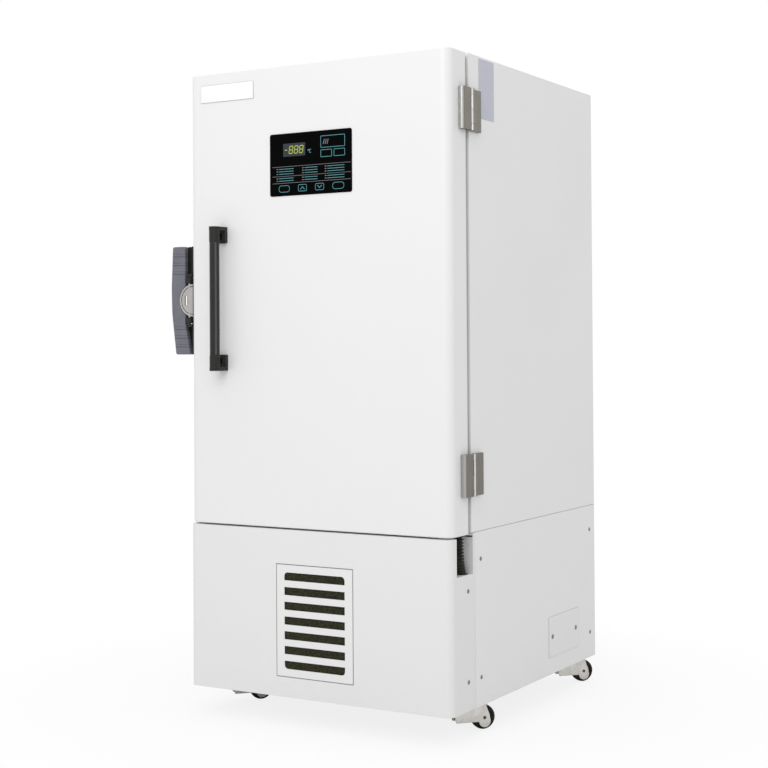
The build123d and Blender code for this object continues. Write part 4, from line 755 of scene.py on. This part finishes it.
make_piece("bellows_seal", "door", gasket_rubber, [skin(seal_grid, wrap_rows=True)], sharp=60,
           replaced=["door_gasket"])

# %% [markdown]
# The control panel is a black glossy film over a frame, with a dark window for the number, domed
# keys, thin grey rules and rows of small lamps. Each mark is a thin plate of its own that stands a
# little proud of the film or of its key, as screened ink and window foil do.

# %% Control panel
panel_x, panel_z, panel_width, panel_height = -6.5, 1463.25, 253, 163.5
film = -2.0
foil = film - 0.1
key_front = film - 0.35
ink = key_front - 0.06
window_box = (-56, 1501, 69, 34)
key_row = 1400
keys = [(63, 1515.5, 74, 31), (43.3, 1485.5, 34.6, 19), (83.2, 1485.5, 33.6, 19)]
lower_keys = [(-87.3, key_row, 36.6, 25), (-30.5, key_row, 29, 25), (22.5, key_row, 29, 25),
              (79.3, key_row, 37.4, 25)]
film_shells = [front_plate(panel_x, panel_z, panel_width, panel_height, 0, film + 0.05, radius=6, roll=0.8)]
film_shells += [front_plate(x, z, w, h, film + 0.05, key_front, radius=3, roll=0.3)
                for x, z, w, h in keys + lower_keys]
make_piece("control_film", "door", panel_gloss, film_shells, replaced=["control_panel"])
window = front_plate(*window_box, film, foil, radius=2, roll=0.05)
make_piece("display_window", "door", window_dark, [window])

rule_levels = (1458, 1433, 1415)
rules = [front_plate(-3.75, z, 241.5, 1.1, film, foil, radius=0.4, roll=0.04) for z in rule_levels]
make_piece("panel_rules", "door", ink_grey, rules)
outlines = [front_ring(x, z, w, h, film, ink, radius=2, line=1.3) for x, z, w, h in keys]
outlines += [front_ring(x, z, w - 2, h - 7, film, ink, radius=4 if w < 30 else 8, line=1.3)
             for x, z, w, h in lower_keys]


def arrow(x, z, size):
    """An open arrow head: outer edge up to the tip, inner edge back; size is negative to point down."""
    outer = [(x - 8, z - size), (x, z + size), (x + 8, z - size)]
    inner = [(x + 5.2, z - size), (x, z + 0.35 * size), (x - 5.2, z - size)]
    return front_prism(outer + inner, film, ink)


outlines += [arrow(-30.5, key_row, 4), arrow(22.5, key_row, -4)]
make_piece("key_outlines", "door", ink_teal, outlines)

lamp_columns = ((-111, 46), (-31, 40), (39, 52))
lamp_levels = (1452, 1445.5, 1439, 1427.5, 1421)
lamp_bars = [front_plate(x + 2, z, 5, 2.4, film, film - 0.12, radius=0.8, roll=0.05)
             for x, w in lamp_columns for z in lamp_levels]
rule_bars = [front_plate(x + 7 + w / 2, z, w, 1.5, film, foil, radius=0.5, roll=0.04)
             for x, w in lamp_columns for z in lamp_levels]
make_piece("lamp_bars", "door", ink_grey, lamp_bars)
make_piece("rule_bars", "door", ink_teal, rule_bars)
print("panel", panel_width, "x", panel_height)

# %% [markdown]
# The number is a dash and three figures of seven strokes each, which lean to the right. Beside the
# window stand a degree mark and, in the largest key, three slashes.

# %% Number on the display
figure_height = 19.0
figure_width = 10.5
stroke = 2.0
slant = 0.14


def stroke_bar(x0, z0, x1, z1):
    """A bar with pointed ends between two points, leaned over by the slant."""
    run = np.array([x1 - x0, z1 - z0], float)
    along = run / np.linalg.norm(run)
    across = np.array([-along[1], along[0]]) * stroke / 2
    start = np.array([x0, z0]) + along * 0.3
    end = np.array([x1, z1]) - along * 0.3
    ends = np.array([start, start + along * stroke / 2 + across, end - along * stroke / 2 + across, end,
                     end - along * stroke / 2 - across, start + along * stroke / 2 - across])
    ends[:, 0] += slant * (ends[:, 1] - window_box[1])
    return front_prism(ends, film, film - 0.2)


def figure(x, z):
    """Seven strokes: three across, and two on each side."""
    half_height = figure_height / 2
    across = [stroke_bar(x, z + dz, x + figure_width, z + dz) for dz in (-half_height, 0, half_height)]
    upright = [stroke_bar(x + dx, z + low, x + dx, z + low + half_height)
               for dx in (0, figure_width) for low in (-half_height, 0)]
    return across + upright


number_level = window_box[1]
number = [stroke_bar(-86, number_level, -77, number_level)]
for place_x in (-71, -55, -39):
    number += figure(place_x, number_level)
make_piece("display_number", "door", figure_glow, number)

mark_level = 1494.5
degree = [front_ring(-11.5, 1497, 4.4, 4.4, film, ink, radius=2.1, line=1.1)]
degree += [front_plate(-5.5, mark_level + dz, 5, 1.4, film, ink, radius=0.5, roll=0.05) for dz in (-4, 4)]
degree += [front_plate(-8.2, mark_level, 1.4, 8, film, ink, radius=0.5, roll=0.05)]
slash_low, slash_high = 1509, 1522
slashes = [front_prism([(x, slash_low), (x + 2.4, slash_low), (x + 6, slash_high), (x + 3.6, slash_high)],
                       film, ink) for x in (33, 39, 45)]
make_piece("degree_mark", "door", ink_teal, degree)
make_piece("key_slashes", "door", ink_grey, slashes)

# %% [markdown]
# Two bare plates: a glossy white one on the door, and a pale film on the side of the cabinet. The
# first lies on a grey base that is a little larger and shows round it as a rim of painted shade.
# The film carries only faint ruled lines, as a blank form does.

# %% Name plate and side film
plate_x, plate_z = -272.5, 1670
name_plate = front_plate(plate_x, plate_z, 171.6, 45.6, -1.0, -2.0, radius=1.2, roll=0.7)
make_piece("bare_name_plate", "door", plate_white, [name_plate], replaced=["name_plate"])
# The grey base is painted shade: a darker rim drawn round the plate where its edges would be in shadow.
plate_shade_base = front_plate(plate_x, plate_z, 174, 48, 0, -1.2, radius=1.5, roll=0.5)
make_piece("name_plate_shade_base", "door", plate_shade_rim, [plate_shade_base])


def on_side(shell, side, surface):
    """Turn a shell that faces the front so that it faces a side: its X becomes Y, its depth goes out."""
    points, quads, caps = shell
    outwards = np.full(len(points), side * surface) - side * points[:, 1]
    return np.stack([outwards, points[:, 0], points[:, 2]], -1), quads, caps


side_film = on_side(front_plate(205.5, 1643.5, 87, 153, 0, -0.4, radius=1.5, roll=0.15), 1, half_width)
make_piece("bare_side_film", "cabinet", label_film, [side_film], replaced=["side_label"])

# %% [markdown]
# The pull bar is a plain tube, turned, with a shallow groove where each end meets its sleeve.

# %% Pull bar
bar_x, bar_y, bar_foot, bar_length, bar_radius = -287, -40, 966, 300, 13.3
bar_end = [(0, 5), (0, bar_radius - 0.9), (0.7, bar_radius - 0.9), (1.1, bar_radius - 0.25),
           (1.9, bar_radius), (4, bar_radius)]
bar_profile = bar_end + [(bar_length - along, radius) for along, radius in bar_end[::-1]]
bar = turned((bar_x, bar_y, bar_foot), (0, 0, 1), bar_profile, columns=64)
make_piece("pull_bar", "door", black_gloss, [bar], replaced=["handle_tube"])

# %% [markdown]
# The latch lever is a moulded grip, held by its left edge. Its section changes all the way up: the
# left edge bellies out, the right edge makes room for the round plate and leans in at the foot,
# the face is crowned, and three ribs at each end give the fingers a hold. So it is a stack of
# closed sections, each worked out from its height.

# %% Latch lever
grip_back, grip_front = 31.0, 13.0
grip_middle, grip_half = (grip_back + grip_front) / 2, (grip_back - grip_front) / 2
height = np.concatenate([[-1, -0.9985], np.linspace(-0.994, 0.994, 331), [0.9985, 1]]) * latch_reach
left_edge = np.interp(height, [-latch_reach, -40, 40, latch_reach], [-460, -473, -475, -470])
smooth = np.hanning(27)[1:-1] / np.hanning(27).sum()
left_edge = np.convolve(np.pad(left_edge, 12, mode="edge"), smooth, "valid")
plate_room = 46.0
scoop = latch_wall - np.sqrt(np.clip(plate_room ** 2 - height ** 2, 0, None))
right_edge = np.interp(height, [-latch_reach, -63, latch_reach], [-411, -427, -427])
right_edge = np.where(np.abs(height) < plate_room, np.minimum(right_edge, scoop), right_edge)
end_room = latch_reach - np.abs(height)
end_round = 5
corner_in = end_round - np.sqrt(np.clip(end_round ** 2 - (end_round - np.clip(end_room, 0, end_round)) ** 2,
                                        0, None))
around = np.linspace(0, 2 * np.pi, 72, endpoint=False)
square = 2 / 7
shape_x = np.sign(np.cos(around)) * np.abs(np.cos(around)) ** square
shape_y = np.sign(np.sin(around)) * np.abs(np.sin(around)) ** square
middle_x = (left_edge + right_edge) / 2
half_x = (right_edge - left_edge) / 2 - corner_in
rib_rows = np.zeros_like(height)
for rib in (rib_pitch, 2 * rib_pitch, 3 * rib_pitch):
    rib_rows += np.exp(-((end_room - rib) / 2.6) ** 4)
x = middle_x[:, None] + half_x[:, None] * shape_x
across = (x - middle_x[:, None]) / half_x[:, None]
crown = 1.4 * across ** 2
lip = 0.9 * np.exp(-((across - 0.93) / 0.05) ** 2) + 0.9 * np.exp(-((across + 0.94) / 0.04) ** 2)
rib_height = 1.6 * rib_rows[:, None] * np.clip((0.86 - np.abs(across)) / 0.08, 0, 1)
front_face = grip_front + crown - lip - rib_height + 0.25 * corner_in[:, None]
y = grip_middle + shape_y * np.where(shape_y < 0, grip_middle - front_face, grip_half)
z = np.broadcast_to(height[:, None] + latch_middle, x.shape)
make_piece("moulded_grip", "lever", lever_blue, [skin(np.stack([x, y, z], -1))], sharp=50,
           replaced=["latch_lever"])

# %% [markdown]
# Screws have domed heads with a crossed recess. On a polar grid the height is a dome, minus the
# recess where the point lies inside one of the two bars of the cross. One function makes a head,
# and every screw of the base is a copy in its place, with its own turn. The caster bolts have six
# sides, and the screws of the hinges lie flush in their leaves.

# %% Screws
def screw_head(centre, axis, radius=5.8, dome=1.5, turn=0.3, bury=7.0):
    """Rings from the middle to the rim, lifted by a dome, sunk by the cross, then down to the shank."""
    ring = np.array([0.04, 0.14, 0.2, 0.26, 0.36, 0.48, 0.56, 0.64, 0.8, 0.92, 1.0])
    angle = np.linspace(0, 2 * np.pi, 48, endpoint=False)
    u = ring[:, None] * np.cos(angle + turn)
    v = ring[:, None] * np.sin(angle + turn)
    inside = (np.minimum(np.abs(u), np.abs(v)) < 0.13) & (ring[:, None] < 0.6)
    lift = dome * np.sqrt(1 - 0.92 * ring[:, None] ** 2) - np.where(inside, 0.75 * dome, 0)
    axis = np.asarray(axis, float)
    centre = np.asarray(centre, float)
    side = np.cross(axis, (0, 0, 1) if abs(axis[2]) < 0.9 else (0, 1, 0))
    up = np.cross(axis, side)
    flat = radius * ring[:, None, None] * (np.cos(angle)[:, None] * side + np.sin(angle)[:, None] * up)
    head = centre + flat + lift[..., None] * axis
    skirt = centre + flat[-1:]
    shank = centre + flat[-1:] * 0.4 - np.array([0.0, bury])[:, None, None] * axis
    return skin(np.concatenate([head, skirt, shank]))


screw_spots = [(y, z) for y in (156, 858) for z in (147.5, 447)] + [(86, 147.5), (86, 374)]
heads = [screw_head((side * half_width, y, z), (side, 0, 0), turn=0.5 * i)
         for side in (-1, 1) for i, (y, z) in enumerate(screw_spots)]
plate_face, plate_level = half_width + 1.2, 178
heads += [screw_head((plate_face, y, plate_level), (1, 0, 0), radius=7, turn=y) for y in (590.92, 751.08)]
bolt_profile = [(0, 4.4), (0.3, 5), (2.5, 5), (2.5, 3), (10.5, 3), (10.5, 1)]
bolt_level, bolt_apart = 68.5, 25
bolt_spots = [(side * caster_x + dx * bolt_apart, y + dy * bolt_apart, bolt_level)
              for side in (-1, 1) for y in caster_rows for dx in (-1, 1) for dy in (-1, 1)]
bolts = [turned(spot, (0, 0, 1), bolt_profile, columns=6) for spot in bolt_spots]
make_piece("screws_and_bolts", "cabinet", screw_steel, heads + bolts, sharp=30, replaced=["screws"])
leaf_face = half_width + 8
flush = [(0, 0.8), (0, 2.85), (-0.25, 3.0), (-0.25, 3.1), (0, 3.18), (-14, 3.18)]
leaf_screws = [turned((leaf_face, y, level + dz), (1, 0, 0), flush) for level in (663, 1581)
               for y in (126.2, 148.56) for dz in (-34, 0, 34)]
make_piece("flush_leaf_screws", "cabinet", brushed_steel, leaf_screws)

# %% [markdown]
# The tyres are cast rubber on a nylon core. Turned in one go, the profile shows the crowned tread,
# the shoulder, the groove where tyre meets core, and the dished hub with its boss.

# %% Caster wheels
half_tyre = [(0, wheel_radius), (4, 31.42), (7.5, 31.0), (9.8, 29.9), (11.4, 28.2), (12.2, 26),
             (12.5, 23.6), (12.3, 22.4), (11.2, 22), (11.2, 21.2), (11.9, 20.6), (11.9, 19), (9.2, 17.6),
             (8.6, 16), (8.6, 11.5), (9.2, 10.4), (12.2, 9.6), (12.5, 9.0), (12.5, 4.2), (0, 4.2)]
tyre_profile = [(-a, r) for a, r in half_tyre[::-1]][1:] + half_tyre[1:-1]
for corner, hub in wheel_hubs.items():
    points, quads = turned(hub, roll_axis, tyre_profile + tyre_profile[:1], columns=72)[:2]
    make_piece(f"tyre_{corner}", f"wheel_{corner}", tyre_black, [(points, quads, [])], sharp=40,
               replaced=[f"caster_wheel_{corner}"])

# %% [markdown]
# The conduit is blown nylon: narrow ridges and wider grooves, the same all along. The tube follows
# the line found at the start. At each point it has a circle across the line, and the radius swings
# between ridge and groove with the distance travelled.

# %% Corrugated conduit
conduit_diameter = 30.0
ridge_pitch = 8.2
ridge_height = 4.2
line = (conduit_line - origin) * 1000
travel = np.concatenate([[0], np.cumsum(np.linalg.norm(np.diff(line, axis=0), axis=1))])
fine = np.arange(0, travel[-1], ridge_pitch / 12)
path = np.stack([np.interp(fine, travel, line[:, i]) for i in range(3)], -1)
ahead = np.gradient(path, axis=0)
mean = np.ones(17) / 17
ahead = np.stack([np.convolve(np.pad(ahead[:, i], 8, mode="edge"), mean, "valid") for i in range(3)], -1)
ahead /= np.linalg.norm(ahead, axis=1)[:, None]
sideways = np.cross(ahead, (1, 0, 0))
sideways /= np.linalg.norm(sideways, axis=1)[:, None]
swing = 2 * (0.5 + 0.5 * np.sin(2 * np.pi * fine / ridge_pitch)) ** 1.8 - 1
tube_radius = conduit_diameter / 2 - ridge_height / 2 + swing * ridge_height / 2
turn = np.linspace(0, 2 * np.pi, 40, endpoint=False)
circle = (np.cos(turn)[None, :, None] * sideways[:, None]
          + np.sin(turn)[None, :, None] * np.cross(ahead, sideways)[:, None])
conduit_grid = path[:, None] + tube_radius[:, None, None] * circle
conduit = make_piece("corrugated_conduit", "cabinet", conduit_black, [skin(conduit_grid)], sharp=80,
                     replaced=["flex_conduit"])

# %% [markdown]
# Behind the notch the cover is folded up to the underside of the cabinet, so that nobody looks
# into the base from the side. It is a plain flange, as thin as the sheet.

# %% Flange behind the notch
flange_inner, flange_outer = 346, half_width - 1.3
flange_low, flange_high = door_foot - 8, door_foot + 3.6
flange = [(flange_inner, flange_low), (flange_outer, flange_low), (flange_outer, flange_high),
          (flange_inner, flange_high)]
make_piece("notch_flange", "cabinet", base_paint, [front_prism(flange, 114.1, 113.0)])

# %% [markdown]
# Open-cell foam fills the grille. Its face is a block whose front rows are pushed to and fro by
# small smooth bumps, which are a few sines of different length and direction added up.

# %% Filter foam
foam_half, foam_low, foam_high = 115.3, 129.7, 418.3
gx, gz = np.meshgrid(np.linspace(-foam_half, foam_half, 190), np.linspace(foam_low, foam_high, 236),
                     indexing="ij")
waves = ((1.31, 0.42, 0), (-0.55, 1.23, 1), (1.02, -1.1, 2), (0.33, 1.9, 3), (1.75, 0.9, 4))
bumps = sum(np.sin(gx * a + gz * b + c) for a, b, c in waves) * 0.14
face = np.stack([gx, -1.6 + bumps, gz], -1)
rim = np.concatenate([face[:, 0], face[-1, 1:], face[-2::-1, -1], face[0, -2:0:-1]])
back_rim = rim * (1, 0, 1) + (0, 7.9, 0)
rows, columns = gx.shape
r, c = np.meshgrid(np.arange(rows - 1), np.arange(columns - 1), indexing="ij")
here, further = r * columns + c, (r + 1) * columns + c
face_quads = np.stack([here, further, further + 1, here + 1], -1)
index = np.arange(rows * columns).reshape(rows, columns)
rim_index = np.concatenate([index[:, 0], index[-1, 1:], index[-2::-1, -1], index[0, -2:0:-1]])
back_index = rows * columns + np.arange(len(rim))
sides = np.stack([rim_index, np.roll(rim_index, -1), np.roll(back_index, -1), back_index], -1)
foam_shell = (np.concatenate([face.reshape(-1, 3), back_rim]),
              np.concatenate([face_quads.reshape(-1, 4), sides]), [back_index])
make_piece("open_cell_foam", "cabinet", filter_foam, [foam_shell], sharp=80, replaced=["filter_pad"])

# %% [markdown]
# At the back the louvres are pressed out of the sheet: each slot has a small hood over it. A hood
# is a quarter of an oval from above the slot outwards, thin as the sheet, whose ends close in.

# %% Louvre hoods
hood_length, hood_drop, hood_out = 200, 11, 6.5
sheet_back = 894.6
slot_levels = 318 + 36 * (np.arange(9) - 4)
along = np.sin(np.radians(np.linspace(-90, 90, 25)))
swell = np.sqrt(np.clip(1 - np.abs(along) ** 6, 0.0, 1))
quarter = np.radians(np.linspace(0, 90, 8))
outer = np.stack([hood_out * np.sin(quarter), hood_drop * (np.cos(quarter) - 0.45)], -1)
inner_up = (hood_drop - 1.2) * np.cos(quarter) - hood_drop * 0.45
inner = np.stack([(hood_out - 1) * np.sin(quarter), inner_up], -1)[::-1]
hood = np.concatenate([outer, inner])
hoods = []
for middle in (-240, 0, 240):
    for level in slot_levels:
        x = np.broadcast_to(middle + along[:, None] * hood_length / 2, (len(along), len(hood)))
        y = sheet_back + swell[:, None] * hood[None, :, 0]
        z = level + 5 + (hood[None, :, 1] - 4) * (0.35 + 0.65 * swell[:, None])
        hoods.append(skin(np.stack([x, y, z], -1)))
make_piece("louvre_hoods", "cabinet", white_paint, hoods, sharp=60)

# %% [markdown]
# The solids that stay as they are get their finish by name. Their shape is never touched: the
# material goes into the first slot of each mesh.

# %% Give each solid its finish
solid_finish = {
    white_paint: ("door_skin", "cabinet_shell", "cabinet_back", "base_side_panels",
                  "base_back_grille"),
    base_paint: ("base_front_cover",),
    grille_paint: ("filter_grille",),
    service_paint: ("service_plate",),
    grey_paint: ("base_frame", "control_box"),
    liner_paint: ("inner_liner", "opening_collar", "door_inner_panel", "inner_door_lower",
                  "inner_door_upper"),
    brushed_steel: ("hinge_leaves_cabinet", "hinge_leaves_door"),
    satin_steel: ("shelves", "shelf_rails", "inner_door_brackets"),
    zinc: ("caster_plates", "latch_striker", *(f"caster_fork_{corner}" for corner in wheel_hubs)),
    plate_steel: ("latch_plate",),
    copper: ("evaporator_coil", "refrigerant_pipes", "filter_drier"),
    fins: ("condenser",),
    screw_steel: ("screws",),
    dark_steel: ("latch_yoke", "compressor_high_stage", "compressor_low_stage", "fan_motor"),
    black_gloss: ("handle_tube",),
    black_matt: ("handle_brackets", "latch_housing", "mains_inlet", "fan_blade", "fan_shroud"),
    lever_blue: ("latch_lever",),
    gasket_rubber: ("door_gasket",),
    soft_rubber: ("compressor_feet", "access_port_plug", "cascade_exchanger",
                  *(f"caster_wheel_{corner}" for corner in wheel_hubs)),
    conduit_black: ("flex_conduit",),
    panel_gloss: ("control_panel",),
    plate_white: ("name_plate",),
    board_green: ("control_board",),
    liner_foam: ("cabinet_foam", "door_foam"),
    battery_case: ("backup_battery",),
    filter_foam: ("filter_pad",),
    label_film: ("side_label",),
}
for material, nodes in solid_finish.items():
    for node in nodes:
        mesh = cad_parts[node].data
        mesh.materials.clear()
        mesh.materials.append(material)
finished = {node for nodes in solid_finish.values() for node in nodes}
print("solids without a finish", sorted(set(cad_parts) - finished))
